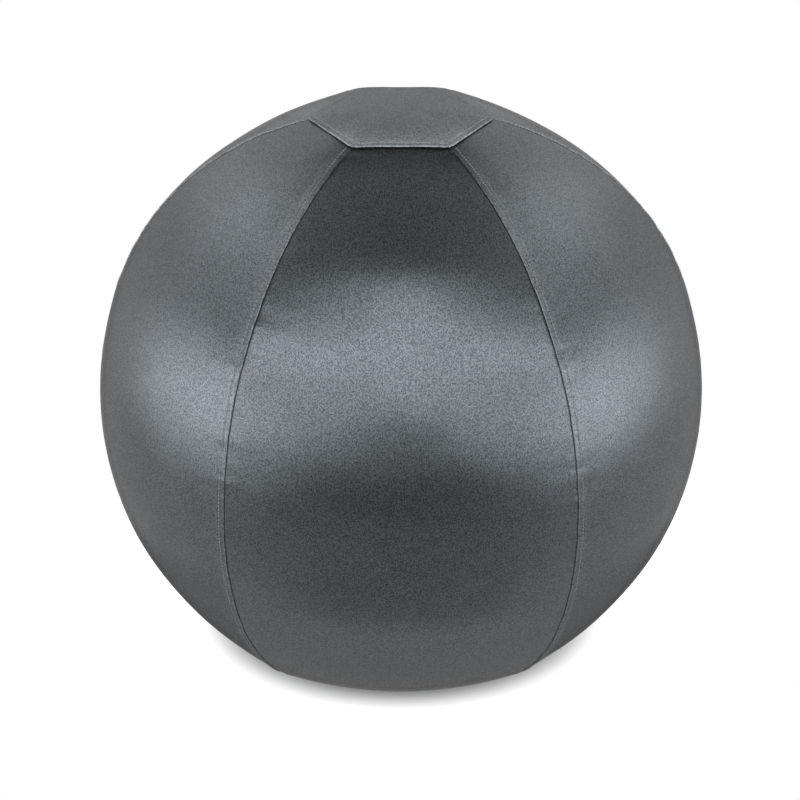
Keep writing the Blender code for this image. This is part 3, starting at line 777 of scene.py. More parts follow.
def base_points(azimuth, reach, inset):
    """Points of the base's underside: round at the hem, drawn in at its stitching."""
    level = rolled(inset) + BASE_VALLEY * bell(inset, STITCH_INSET, VALLEY_WIDTH)
    return np.stack((reach * np.sin(azimuth), -reach * np.cos(azimuth), level), axis=-1)


azimuth, reach, inset = hexagon_rows(side_steps, hem_insets[:, ::-1])
points = base_points(azimuth, reach, inset)
# The fold and the stitching get the same pale mark as the gores: painted highlight and wear.
painted_light_and_wear = edge_highlight_and_wear(inset, BASE_FOLD_HIGHLIGHT_AND_WEAR, STITCHING_HIGHLIGHT_AND_WEAR)
wall = BASE_THICKNESS - points[..., 2]
base = make_sheet("base_cloth", points, points[..., [1, 0]], painted_light_and_wear, wall, wrapped=True)

# %% [markdown]
# ## Topstitching
# A line of topstitching is a row of short threads that rise out of the cloth, lie on it and dive
# back in. One stitch is modelled from a cylinder whose ends are extruded, sunk and narrowed. It is
# then copied along each seam, a little crooked each time, as sewing is. Hundreds of copies have
# to stay light, so a stitch has only a few dozen faces.

# %% One stitch
STITCH_LENGTH = 2.4 * MM
STITCH_PITCH = 3.6 * MM
STITCH_BODY = 0.55
THREAD_DIAMETER = 0.85 * MM
STITCH_SIDES = 8
STITCH_ENDS = (
    # share of the length, sink, narrowing
    (0.15, 0.10 * MM, 0.88),
    (0.075, 0.26 * MM, 0.6),
)
FACING = 0.9


def pick(kind, test):
    """In edit mode, leaves only those faces, edges or corners selected that pass the test."""
    bpy.ops.mesh.select_mode(type=kind)
    bpy.ops.mesh.select_all(action="DESELECT")
    shape = bmesh.from_edit_mesh(bpy.context.object.data)
    for item in {"FACE": shape.faces, "EDGE": shape.edges, "VERT": shape.verts}[kind]:
        if test(item):
            item.select_set(True)
    shape.select_flush_mode()
    bmesh.update_edit_mesh(bpy.context.object.data)


def take_shape(piece):
    """Corners and faces of a finished model, which is then removed."""
    corners = np.array([corner.co for corner in piece.data.vertices])
    faces = [tuple(face.vertices) for face in piece.data.polygons]
    bpy.data.objects.remove(piece)
    return corners, faces


bpy.ops.object.select_all(action="DESELECT")
bpy.ops.mesh.primitive_cylinder_add(
    vertices=STITCH_SIDES,
    radius=THREAD_DIAMETER / 2,
    depth=STITCH_BODY * STITCH_LENGTH,
    rotation=(0, math.pi / 2, 0),
)
stitch = bpy.context.object
bpy.ops.object.transform_apply()
bpy.ops.object.mode_set(mode="EDIT")
for side in (-1, 1):
    end = side * STITCH_BODY / 2 * STITCH_LENGTH
    sunk = 0
    for share, sink, narrow in STITCH_ENDS:
        pick("FACE", lambda face: side * face.normal.x > FACING)
        step = (side * share * STITCH_LENGTH, 0, -sink)
        bpy.ops.mesh.extrude_region_move(TRANSFORM_OT_translate={"value": step})
        end += step[0]
        sunk -= sink
        bpy.ops.transform.resize(value=(1, narrow, narrow), center_override=(end, 0, sunk))
bpy.ops.object.mode_set(mode="OBJECT")
stitch_shape = take_shape(stitch)
stitch_size = np.round(np.ptp(stitch_shape[0], axis=0) / MM, 2)
print("a stitch has", len(stitch_shape[1]), "faces,", stitch_size, "mm")

# %% Lines of stitches
STITCH_REST = 0.20 * MM
STITCH_TURN = math.radians(3)
STITCH_DRIFT = 0.06 * MM
SMOOTH_COPIES = math.radians(60)
sewing_draw = np.random.default_rng(29)


def copy_along(name, model, places, keep):
    """One mesh of many copies: places holds a middle and three axes for each copy."""
    corners, faces = model
    middle, *axes = places
    count = len(middle)
    points = middle[:, None, :] + np.einsum("vk,nkc->nvc", corners, np.stack(axes, axis=1))
    every_face = [
        tuple(index + copy * len(corners) for index in face)
        for copy in range(count)
        for face in faces
    ]
    mesh = bpy.data.meshes.new(name)
    mesh.from_pydata(points.reshape(-1, 3).tolist(), [], every_face)
    own = mesh.attributes.new(keep, "FLOAT_VECTOR", "POINT")
    own.data.foreach_set("vector", np.tile(corners, (count, 1)).ravel())
    piece = bpy.data.objects.new(name, mesh)
    bpy.context.scene.collection.objects.link(piece)
    choose(piece)
    bpy.ops.object.shade_smooth_by_angle(angle=SMOOTH_COPIES)
    return piece


def sew_line(name, points, outward):
    """Copies the stitch along a line of points that lies on the cloth."""
    steps = np.linalg.norm(np.diff(points, axis=0), axis=1)
    length = np.concatenate(([0], np.cumsum(steps)))
    count = round(length[-1] / STITCH_PITCH)
    at = (np.arange(count) + 0.5) * length[-1] / count

    def follow(values, where):
        return np.stack([np.interp(where, length, values[:, axis]) for axis in range(3)], axis=-1)

    out = unit(follow(outward, at))
    along = unit(follow(points, at + STITCH_LENGTH / 2) - follow(points, at - STITCH_LENGTH / 2))
    across = unit(np.cross(out, along))
    turn = sewing_draw.normal(0, STITCH_TURN, count)[:, None]
    drift = sewing_draw.normal(0, STITCH_DRIFT, count)[:, None]
    along, across = (
        along * np.cos(turn) + across * np.sin(turn),
        across * np.cos(turn) - along * np.sin(turn),
    )
    out = np.cross(along, across)
    middle = follow(points, at) + drift * across + STITCH_REST * out
    return copy_along(name, stitch_shape, (middle, along, across, out), "thread_place")


# %% Stitching of the seams
STITCH_END = 1.5 * MM
LINE_STEP = 0.5 * MM
seam_top = math.acos(PANEL_SIDE / BALL_RADIUS) - STITCH_END / BALL_RADIUS


def seam_line(gore, side, bottom, top):
    """Points of the stitch valley beside one edge of a gore, and the ways out of the cloth."""
    latitude = np.arange(bottom, top, LINE_STEP / BALL_RADIUS)
    edge, ring = edge_turn(gore, side, latitude)
    turn = side * (edge - STITCH_INSET / ring)
    height = cloth_height(gore, side, turn, latitude, np.full_like(latitude, STITCH_INSET))[0]
    azimuth = gore * GORE_ANGLE + turn
    return cover_points(azimuth, latitude, height), ways_out(azimuth, latitude)


stitch_lines = {}
for seam, gore in enumerate(UPPER_GORES):
    side, edge = (1, "far") if gore == seam else (-1, "near")
    line = f"gore_{GORES[gore]}_{edge}"
    stitch_lines[line] = sew_line(f"stitches_{line}", *seam_line(gore, side, -seam_top, seam_top))
stitch_lines["zip"] = sew_line("stitches_zip", *seam_line(ZIP_SEAM, 1, ZIP_BOTTOM, ZIP_TOP))
print({line: len(piece.data.polygons) for line, piece in stitch_lines.items()})

# %% Stitching of the cap and the base
HEM_STEPS = 1200
hem_side = np.linspace(0, len(GORES), HEM_STEPS)
hem_line = np.full(HEM_STEPS, STITCH_INSET)
on_cap = cap_points(*hexagon_rows(hem_side, hem_line, CAP_GROW, CAP_BOW))
stitch_lines["cap"] = sew_line("stitches_cap", on_cap, on_cap - np.array(ball_middle))
on_base = base_points(*hexagon_rows(hem_side, hem_line))
base_stitches = sew_line("stitches_base", on_base, np.tile((0.0, 0.0, -1.0), (HEM_STEPS, 1)))
lowest = min(corner.co.z for corner in base_stitches.data.vertices)
print("lowest base stitch", round(lowest / MM, 3), "mm")

# %% [markdown]
# ## Zip: tapes and teeth
# The zip lies in a seam at the back, its two tapes sewn under the folded edges of the gores. Each
# tooth is a nylon bar with a thicker head, made from a cube that is extruded towards the middle
# of the zip. The two rows stand half a tooth apart, and leave room between their heads for the
# web of the slider, which has to run the whole length.

# %% Zip frame and tapes
ZIP_AZIMUTH = (ZIP_SEAM + 0.5) * GORE_ANGLE
ZIP_ENDS = (-1.062008, -0.034823)
ZIP_LENGTH = ZIP_RADIUS * (ZIP_ENDS[1] - ZIP_ENDS[0])
ZIP_SIDES = ((-1, "right"), (1, "back"))
TAPE_TOP = -2.9127 * MM
TAPE_NEAR = 0.8 * MM
TAPE_WIDTH = 13 * MM
TAPE_THICKNESS = 0.5 * MM
TAPE_COLUMNS = np.array(
    (0, 0.3, 0.8, 1.6, 2.6, 3.4, 4.2, 5.5, 7.5, 9.5, 11.0, 12.2, 12.7, 13.0)
) * MM
TAPE_ROWS = 220
SELVEDGE = 0.12 * MM
SELVEDGE_WIDTH = 0.8 * MM


def axes_towards(outward):
    """Axes with X across the zip's seam, Y up along it and Z pointing outward."""
    across = sideways(ZIP_AZIMUTH)
    return Matrix((across, outward.cross(across), outward)).transposed().to_4x4()


def zip_axes(angle):
    """The same axes on the middle of the zip's arc, at an angle along it."""
    axes = axes_towards(math.cos(angle) * heading(ZIP_AZIMUTH) + math.sin(angle) * UP)
    axes.translation = heading(ZIP_AZIMUTH) * ZIP_CENTRE.x + UP * (BALL_HEIGHT + ZIP_CENTRE.y)
    return axes @ Matrix.Translation((0, 0, ZIP_RADIUS))


tapes = {}
for side, word in ZIP_SIDES:
    away = TAPE_NEAR + (TAPE_COLUMNS if side > 0 else TAPE_COLUMNS[::-1])[:, None]
    latitude = np.linspace(ZIP_BOTTOM, ZIP_TOP, TAPE_ROWS + 1)[None, :]
    away, latitude = np.broadcast_arrays(away, latitude)
    turn = np.arcsin(side * away / (BALL_RADIUS * np.cos(latitude)))
    out = TAPE_TOP + SELVEDGE * bell(away, TAPE_NEAR + TAPE_WIDTH, SELVEDGE_WIDTH)
    points = cover_points(ZIP_AZIMUTH + turn, latitude, out)
    threads = np.stack((away, BALL_RADIUS * latitude), axis=-1)
    wall = np.full_like(turn, TAPE_THICKNESS)
    tape_name = f"zip_tape_{word}_weave"
    tapes[word] = make_sheet(tape_name, points, threads, np.zeros_like(turn), wall)
print("tapes", round(ZIP_LENGTH, 4), "m long")

# %% Zip teeth
TOOTH_PITCH = 2.0 * MM
TOOTH_TOP = -0.8127 * MM
TOOTH_LOW = TAPE_TOP - 0.05 * MM
TOOTH_MIDDLE = (TOOTH_TOP + TOOTH_LOW) / 2
TOOTH_FAR = 3.0 * MM
TOOTH_NEAR = 0.55 * MM
TOOTH_NECK = 1.5 * MM
TOOTH_LENGTH = 0.9 * MM
TOOTH_SLOPE = 0.35 * MM
TOOTH_HEAD = 1.45
TOOTH_BEVEL = 0.22 * MM

bpy.ops.object.select_all(action="DESELECT")
bpy.ops.mesh.primitive_cube_add(
    size=1,
    location=((TOOTH_FAR + TOOTH_NECK) / 2, 0, TOOTH_MIDDLE),
    scale=(TOOTH_FAR - TOOTH_NECK, TOOTH_LENGTH, TOOTH_TOP - TOOTH_LOW),
)
tooth = bpy.context.object
bpy.ops.object.transform_apply()
bpy.ops.object.mode_set(mode="EDIT")
for step, widen in ((TOOTH_SLOPE, TOOTH_HEAD), (TOOTH_NECK - TOOTH_NEAR - TOOTH_SLOPE, 1.0)):
    pick("FACE", lambda face: face.normal.x < -FACING)
    bpy.ops.mesh.extrude_region_move(TRANSFORM_OT_translate={"value": (-step, 0, 0)})
    bpy.ops.transform.resize(value=(1, widen, 1), center_override=(0, 0, TOOTH_MIDDLE))
bpy.ops.object.mode_set(mode="OBJECT")
round_off = tooth.modifiers.new("round", "BEVEL")
round_off.width = TOOTH_BEVEL
round_off.segments = 1
apply_modifiers(tooth)
tooth_shape = take_shape(tooth)

tooth_rows = {}
count = int(ZIP_LENGTH / TOOTH_PITCH) - 1
for side, word in ZIP_SIDES:
    start = ZIP_ENDS[0] + (0.75 if side > 0 else 0.25) * TOOTH_PITCH / ZIP_RADIUS
    angles = start + np.arange(count) * TOOTH_PITCH / ZIP_RADIUS
    frames = np.array([zip_axes(angle) for angle in angles])
    across, along, out, middle = frames[:, :3].T.swapaxes(1, 2)
    places = (middle, side * across, side * along, out)
    tooth_rows[word] = copy_along(f"zip_coil_{word}", tooth_shape, places, "tooth_place")
print(count, "teeth a side,", len(tooth_shape[1]), "faces each")

# %% [markdown]
# ## Zip: stops, slider and pull
# The slider is two metal plates joined by a web, with a bent wire on its back that the pull hangs
# in. Plates start as cubes, the tail is scaled in, and the upright edges are bevelled. The wire is
# half a torus, cut by a bisecting plane and extruded down into the plate. The pull is a plane with
# a round end and a window, given a thickness, and its grip is inset on both faces.

# %% Plates and stops
STOP_SIZE = (6.0 * MM, 2.5 * MM, 1.2 * MM)
STOP_CORNER = 0.6 * MM
STOP_BEVEL = 0.25 * MM
SHARP_EDGE = math.radians(35)
SMOOTH_HARD = math.radians(40)


def finish_hard(piece, bevel, segments=2):
    """Rounds the edges of a hard piece and shades it smooth."""
    round_off = piece.modifiers.new("round", "BEVEL")
    round_off.width = bevel
    round_off.segments = segments
    round_off.limit_method = "ANGLE"
    round_off.angle_limit = SHARP_EDGE
    apply_modifiers(piece)
    bpy.ops.object.shade_smooth_by_angle(angle=SMOOTH_HARD)


def is_upright(edge):
    run = edge.verts[1].co - edge.verts[0].co
    return abs(run.z) > FACING * run.length


def plate(name, size, low, corner, tail=1.0):
    """A plate with round upright corners, narrower towards its lower end."""
    bpy.ops.object.select_all(action="DESELECT")
    bpy.ops.mesh.primitive_cube_add(size=1, location=(0, 0, low + size[2] / 2), scale=size)
    piece = bpy.context.object
    piece.name = name
    bpy.ops.object.transform_apply()
    bpy.ops.object.mode_set(mode="EDIT")
    pick("FACE", lambda face: face.normal.y < -FACING)
    bpy.ops.transform.resize(value=(tail, 1, 1), center_override=(0, -size[1] / 2, 0))
    pick("EDGE", is_upright)
    bpy.ops.mesh.bevel(offset=corner, segments=4, affect="EDGES")
    bpy.ops.object.mode_set(mode="OBJECT")
    return piece


def set_in_place(piece, place):
    """Moves a finished piece to its place and leaves that in its mesh."""
    choose(piece)
    piece.matrix_world = place
    bpy.ops.object.transform_apply()


stops = {}
stop_turn = STOP_SIZE[1] / ZIP_RADIUS
for word, angle in (("top", ZIP_ENDS[1] - stop_turn), ("bottom", ZIP_ENDS[0] + stop_turn)):
    stops[word] = plate(f"zip_{word}_clamp", STOP_SIZE, TOOTH_TOP + CLEARANCE, STOP_CORNER)
    finish_hard(stops[word], STOP_BEVEL)
    set_in_place(stops[word], zip_axes(angle))
print("stops", [piece.name for piece in stops.values()])

# %% Slider
SLIDER_ANGLE = -0.0710025
SLIDER_WIDTH = 6.6 * MM
SLIDER_LENGTH = 12 * MM
SLIDER_TAIL = 0.82
SLIDER_CORNER = 1.5 * MM
TOP_PLATE = (-0.5127 * MM, 0.8873 * MM)
TOP_BEVEL = 0.35 * MM
LOWER_PLATE = (-4.8294 * MM, -4.0294 * MM)
LOWER_BEVEL = 0.22 * MM
WEB_WIDTH = 0.9 * MM
WEB_CORNER = 0.2 * MM
WEB_SUNK = 0.4 * MM
BRIDGE_RADIUS = 4.2 * MM
BRIDGE_WIRE = 1.6 * MM
BRIDGE_SUNK = 0.5 * MM
PULL_HINGE = 2.0873 * MM


def slider_plate(name, ends, bevel, segments):
    """One of the slider's two plates, between two heights."""
    size = (SLIDER_WIDTH, SLIDER_LENGTH, ends[1] - ends[0])
    piece = plate(name, size, ends[0], SLIDER_CORNER, SLIDER_TAIL)
    finish_hard(piece, bevel, segments)
    return piece


slider = slider_plate("zip_slider_body", TOP_PLATE, TOP_BEVEL, 3)
lower = slider_plate("slider_lower_plate", LOWER_PLATE, LOWER_BEVEL, 2)
web_size = (WEB_WIDTH, SLIDER_LENGTH / 2, TOP_PLATE[0] - LOWER_PLATE[1] + 2 * WEB_SUNK)
web = plate("slider_web", web_size, LOWER_PLATE[1] - WEB_SUNK, WEB_CORNER)

bpy.ops.object.select_all(action="DESELECT")
bpy.ops.mesh.primitive_torus_add(
    location=(0, 0, PULL_HINGE),
    rotation=(0, math.pi / 2, 0),
    major_radius=BRIDGE_RADIUS,
    minor_radius=BRIDGE_WIRE / 2,
    major_segments=48,
    minor_segments=16,
)
bridge = bpy.context.object
bpy.ops.object.transform_apply()
bpy.ops.object.mode_set(mode="EDIT")
bpy.ops.mesh.select_all(action="SELECT")
bpy.ops.mesh.bisect(
    plane_co=(0, 0, PULL_HINGE), plane_no=(0, 0, 1), use_fill=True, clear_inner=True
)
pick(
    "FACE",
    lambda face: face.normal.z < -FACING and face.calc_center_median().z < PULL_HINGE + WELD,
)
bridge_drop = TOP_PLATE[1] - BRIDGE_SUNK - PULL_HINGE
bpy.ops.mesh.extrude_region_move(TRANSFORM_OT_translate={"value": (0, 0, bridge_drop)})
bpy.ops.object.mode_set(mode="OBJECT")
bpy.ops.object.shade_smooth_by_angle(angle=SMOOTH_HARD)
choose(slider)
for part in (lower, web, bridge):
    part.select_set(True)
bpy.ops.object.join()
set_in_place(slider, zip_axes(SLIDER_ANGLE))
print(slider.name, len(slider.data.polygons), "faces")

# %% Pull
PULL_LENGTH = 30 * MM
PULL_WIDTH = 7.2 * MM
PULL_THICKNESS = 1.4 * MM
PULL_CORNER = 0.44 * PULL_WIDTH
PULL_BAR = PULL_THICKNESS / 2
PULL_BEVEL = 0.16 * MM
WINDOW_ROOM = 0.8 * MM
WINDOW_HALF = BRIDGE_WIRE / 2 + WINDOW_ROOM
WINDOW_END = -BRIDGE_RADIUS - BRIDGE_WIRE / 2 - WINDOW_ROOM
GRIP_START = WINDOW_END - 2.2 * MM
GRIP_RIM = 1.1 * MM
GRIP_DEPTH = 0.28 * MM


def in_window(face):
    middle = face.calc_center_median()
    return abs(middle.x) < WINDOW_HALF and WINDOW_END < middle.y < -PULL_BAR


def in_grip(face):
    return face_side * face.normal.z > FACING and face.calc_center_median().y < GRIP_START


bpy.ops.object.select_all(action="DESELECT")
bpy.ops.mesh.primitive_plane_add(size=1, location=(0, (PULL_BAR - PULL_LENGTH) / 2, 0))
pull = bpy.context.object
pull.name = "zip_pull_tab"
pull.scale = (PULL_WIDTH, PULL_LENGTH + PULL_BAR, 1)
bpy.ops.object.transform_apply()
bpy.ops.object.mode_set(mode="EDIT")
pick("VERT", lambda corner: corner.co.y < -PULL_LENGTH / 2)
bpy.ops.mesh.bevel(offset=PULL_CORNER, segments=10, affect="VERTICES")
for across, cuts in (
    ((0, 1, 0), (-PULL_BAR, WINDOW_END, GRIP_START)),
    ((1, 0, 0), (-WINDOW_HALF, WINDOW_HALF)),
):
    for cut in cuts:
        bpy.ops.mesh.select_all(action="SELECT")
        bpy.ops.mesh.bisect(plane_co=cut * Vector(across), plane_no=across)
pick("FACE", in_window)
bpy.ops.mesh.delete(type="FACE")
bpy.ops.object.mode_set(mode="OBJECT")
thicken(pull, PULL_THICKNESS, offset=0)
bpy.ops.object.mode_set(mode="EDIT")
for face_side in (-1, 1):
    pick("FACE", in_grip)
    bpy.ops.mesh.inset(thickness=GRIP_RIM)
    bpy.ops.mesh.inset(thickness=GRIP_DEPTH, depth=-GRIP_DEPTH)
bpy.ops.object.mode_set(mode="OBJECT")
finish_hard(pull, PULL_BEVEL)
hinge = zip_axes(SLIDER_ANGLE) @ Matrix.Translation((0, 0, PULL_HINGE))
set_in_place(pull, hinge @ Matrix.Rotation(SLIDER_ANGLE, 4, "X"))
pull_reach = round(max(pull.dimensions) / MM, 1)
print(pull.name, len(pull.data.polygons), "faces,", pull_reach, "mm at most")

# %% [markdown]
# ## The inflated ball
# Nothing of the vinyl ball shows while the zip is closed, but it is there when a cover is moved
# aside, so it gets its wall, its hole for the valve and the rings that moulded balls have. A UV
# sphere with its pole on the valve gives both: the pole is deleted, the edge of the hole is drawn
# in, and every second ring of two belts is sunk. Where it stands in the cover it is pressed flat.

# %% Inner ball
INNER_RADIUS = 319.8706 * MM
INNER_FLAT = 4.8 * MM
BALL_WALL = 1.2 * MM
VALVE_LATITUDE = math.radians(-32)
VALVE_HOLE = 11.3 * MM
BALL_SEGMENTS = 96
BALL_RINGS = 128
OPEN_RINGS = 1.6
BELTS = ((math.radians(48), math.radians(82)), (math.radians(98), math.radians(132)))
BELT_GROOVE = 0.8 * MM

bpy.ops.object.select_all(action="DESELECT")
bpy.ops.mesh.primitive_uv_sphere_add(
    segments=BALL_SEGMENTS, ring_count=BALL_RINGS, radius=INNER_RADIUS
)
inner = bpy.context.object
inner.name = "inner_ball_skin"
for corner in inner.data.vertices:
    polar = math.acos(max(-1, min(1, corner.co.z / INNER_RADIUS)))
    ring = round(polar / math.pi * BALL_RINGS)
    if ring % 2 and any(low < polar < high for low, high in BELTS):
        corner.co *= 1 - BELT_GROOVE / INNER_RADIUS
bpy.ops.object.mode_set(mode="EDIT")
open_level = INNER_RADIUS * math.cos(OPEN_RINGS * math.pi / BALL_RINGS)
pick("FACE", lambda face: face.calc_center_median().z > open_level)
bpy.ops.mesh.delete(type="FACE")
bpy.ops.object.mode_set(mode="OBJECT")
rim_level = max(corner.co.z for corner in inner.data.vertices)
hole_level = math.sqrt(INNER_RADIUS**2 - VALVE_HOLE**2)
for corner in inner.data.vertices:
    if corner.co.z > rim_level - WELD:
        corner.co.xy *= VALVE_HOLE / corner.co.xy.length
        corner.co.z = hole_level
valve_way = math.cos(VALVE_LATITUDE) * heading(ZIP_AZIMUTH) + math.sin(VALVE_LATITUDE) * UP
valve_axes = axes_towards(valve_way)
valve_axes.translation = ball_middle
set_in_place(inner, valve_axes)
for corner in inner.data.vertices:
    corner.co.z = max(corner.co.z, INNER_FLAT)
thicken(inner, BALL_WALL)
bpy.ops.object.shade_smooth_by_angle(angle=SMOOTH_HARD)
print(inner.name, len(inner.data.polygons), "faces")

# %% [markdown]
# ## Satin cloth
# Satin is woven so that long threads lie side by side along the gore. It is dull along them and
# shiny across them, so its highlight is stretched: the shader's anisotropy, turned by a tangent
# that follows U. Noise in the size of the yarn and a random fleck for each float of it give the
# speckle in the colour, the gloss and the sheen, and a finer weave gives the bump. Gloss fades
# where the cloth turns away. The attribute of painted light and wear paints the folds with a pale
# painted highlight, partly wear, and the hollows with painted shade, dark in colour and gloss.

# %% Helpers for finishes
NOISE_SPAN = (0.3, 0.7)


def mix_colours(tree, share, first, second):
    """The colour between two others."""
    sockets = {0: share, 6: first, 7: second}
    return place_node(tree, "ShaderNodeMix", sockets, data_type="RGBA").outputs[2]


def scaled_noise(tree, place, scale, detail=2.0):
    """Noise over a place, with its scale given for each axis."""
    scaled = place_node(tree, "ShaderNodeMapping", {"Vector": place, "Scale": scale}).outputs[0]
    sockets = {"Vector": scaled, "Scale": 1.0, "Detail": detail}
    return place_node(tree, "ShaderNodeTexNoise", sockets).outputs["Fac"]


def wave_bands(tree, place, pitch, direction, **more):
    """Bands this far apart, across one direction."""
    sockets = {"Vector": place, "Scale": math.pi / 10 / pitch, **more}
    node = place_node(tree, "ShaderNodeTexWave", sockets, bands_direction=direction)
    return node.outputs["Fac"]


def woven_height(tree, place, pitch):
    """Height of a plain weave: threads of one direction pass over and under the others."""
    over, under = (
        wave_bands(tree, place, pitch, direction, Distortion=0.6, Detail=1.0)
        for direction in ("X", "Y")
    )
    return combine(tree, "MAXIMUM", over, under)


def bumped(tree, height, distance, strength, **below):
    """The surface tilted by a height, on top of another Normal where one is given."""
    sockets = {"Height": height, "Distance": distance, "Strength": strength, **below}
    return place_node(tree, "ShaderNodeBump", sockets).outputs["Normal"]


def new_finish(name, **constants):
    """A material, and its main shader with constant values set on the shader's own sockets."""
    finish = bpy.data.materials.new(name)
    finish.use_nodes = True
    shader = finish.node_tree.nodes["Principled BSDF"]
    for socket, value in constants.items():
        shader.inputs[socket.replace("_", " ")].default_value = value
    return finish, finish.node_tree, shader


def connect(shader, **outputs):
    """Links outputs of other nodes to sockets of the main shader."""
    for socket, output in outputs.items():
        shader.id_data.links.new(output, shader.inputs[socket.replace("_", " ")])


def put_on(finish, *pieces):
    for piece in pieces:
        piece.data.materials.append(finish)
    print(finish.name, "on", len(pieces), "pieces")


# %% Satin cloth
CLOTH_DARK = (0.0060, 0.0064, 0.0072, 1)
CLOTH_PALE = (0.0370, 0.0398, 0.0432, 1)
# The next pale colour is a painted highlight on the folds, partly wear, and the dark one after it
# is painted shade in the hollows.
CLOTH_HIGHLIGHT_AND_WEAR = (0.340, 0.358, 0.375, 1)
CLOTH_PAINTED_SHADE = (0.002, 0.002, 0.002, 1)
CLOTH_SHINE = (0.85, 0.94, 1.0, 1)
YARN_FLOAT = (0.9 * MM, 1.2 * MM, 1.0)
YARN_PITCH = 0.55 * MM
SPECKLE_SCALE = (900, 700, 1)
CLOUD_SCALE = (24, 18, 1)
FLECK_SHARE = 0.25
GRAIN_SPAN = (0.34, 0.66)
PAINTED_SHADE_SPAN = (-1.0, 0.0)

cloth_finish, tree, shader = new_finish(
    "satin_cloth", Anisotropic=0.844, IOR=1.78, Specular_Tint=CLOTH_SHINE, Sheen_Roughness=0.4
)
weave = place_node(tree, "ShaderNodeUVMap", uv_map="weave").outputs["UV"]
tangent = place_node(tree, "ShaderNodeTangent", direction_type="UV_MAP", uv_map="weave")
speckle = scaled_noise(tree, weave, SPECKLE_SCALE, 3.0)
cell = vector_math(tree, "SNAP", weave, YARN_FLOAT).outputs[0]
yarn = place_node(tree, "ShaderNodeTexWhiteNoise", {"Vector": cell}, noise_dimensions="2D")
fleck = yarn.outputs["Value"]
cloud = scaled_noise(tree, weave, CLOUD_SCALE)
even_part = combine(tree, "MULTIPLY", speckle, 1 - FLECK_SHARE)
grainy = combine(tree, "ADD", even_part, combine(tree, "MULTIPLY", fleck, FLECK_SHARE))
# painted light and wear from the sheets: above 0 a pale painted highlight, below 0 painted shade
# in colour and gloss
painted_light_and_wear = place_node(tree, "ShaderNodeAttribute", attribute_name="painted_light_and_wear").outputs["Fac"]
highlight_and_wear = combine(tree, "MULTIPLY", ramp(tree, painted_light_and_wear, 0, 1), ramp(tree, fleck, 0.1, 0.9, 0.3, 1.0))
colour = mix_colours(tree, ramp(tree, grainy, *GRAIN_SPAN), CLOTH_DARK, CLOTH_PALE)
colour = mix_colours(tree, highlight_and_wear, colour, CLOTH_HIGHLIGHT_AND_WEAR)
colour = mix_colours(tree, ramp(tree, painted_light_and_wear, *PAINTED_SHADE_SPAN, 0.8, 0.0), colour, CLOTH_PAINTED_SHADE)
facing = place_node(tree, "ShaderNodeLayerWeight", {"Blend": 0.5}).outputs["Facing"]
gloss = ramp(tree, grainy, *GRAIN_SPAN, 0.38, 1.00)
for factor in (
    ramp(tree, cloud, *NOISE_SPAN, 0.92, 1.05),
    ramp(tree, painted_light_and_wear, *PAINTED_SHADE_SPAN, 0.1, 1.0),
    ramp(tree, facing, 0.45, 0.85, 1.0, 0.06),
):
    gloss = combine(tree, "MULTIPLY", gloss, factor)
grain = bumped(tree, speckle, 0.15 * MM, 0.35)
connect(
    shader,
    Tangent=tangent.outputs["Tangent"],
    Base_Color=colour,
    Specular_IOR_Level=gloss,
    Roughness=ramp(tree, speckle, *NOISE_SPAN, 0.385, 0.345),
    Sheen_Weight=ramp(tree, grainy, 0.47, 0.62, 0.0, 0.18),
    Normal=bumped(tree, woven_height(tree, weave, YARN_PITCH), 0.05 * MM, 0.2, Normal=grain),
)
put_on(cloth_finish, *gore_cloths.values(), cap, base)

# %% [markdown]
# ## Thread, tape and nylon
# Sewing thread is two plies twisted together, so slanted bands on each stitch's own coordinates
# are enough. The tape has a coarse plain weave, and the nylon teeth are smooth with a faint
# unevenness from moulding.

# %% Thread, tape and nylon
THREAD_COLOURS = ((0.125, 0.132, 0.139, 1), (0.295, 0.310, 0.323, 1))
TAPE_COLOURS = ((0.014, 0.015, 0.017, 1), (0.034, 0.036, 0.039, 1))
TAPE_YARN = (0.050, 0.052, 0.056, 1)
NYLON_COLOURS = ((0.026, 0.027, 0.030, 1), (0.050, 0.052, 0.056, 1))


def moulded_finish(name, ior, scale, detail, colours, roughness, depth):
    """Smooth plastic with a faint unevenness."""
    finish, tree, shader = new_finish(name, IOR=ior)
    spot = place_node(tree, "ShaderNodeTexCoord").outputs["Object"]
    flow = scaled_noise(tree, spot, (scale, scale, scale), detail)
    connect(
        shader,
        Base_Color=mix_colours(tree, flow, *colours),
        Roughness=ramp(tree, flow, *NOISE_SPAN, *roughness),
        Normal=bumped(tree, flow, depth, 0.2),
    )
    return finish


thread_finish, tree, shader = new_finish(
    "sewing_thread", Sheen_Weight=0.25, Sheen_Roughness=0.5, Specular_IOR_Level=0.5
)
spot = place_node(tree, "ShaderNodeAttribute", attribute_name="thread_place").outputs["Vector"]
ply = wave_bands(tree, spot, 0.55 * MM, "DIAGONAL", Distortion=0.4)
connect(
    shader,
    Base_Color=mix_colours(tree, ply, *THREAD_COLOURS),
    Roughness=ramp(tree, ply, 0, 1, 0.62, 0.45),
    Normal=bumped(tree, ply, 0.08 * MM, 0.6),
)
put_on(thread_finish, *stitch_lines.values(), base_stitches)

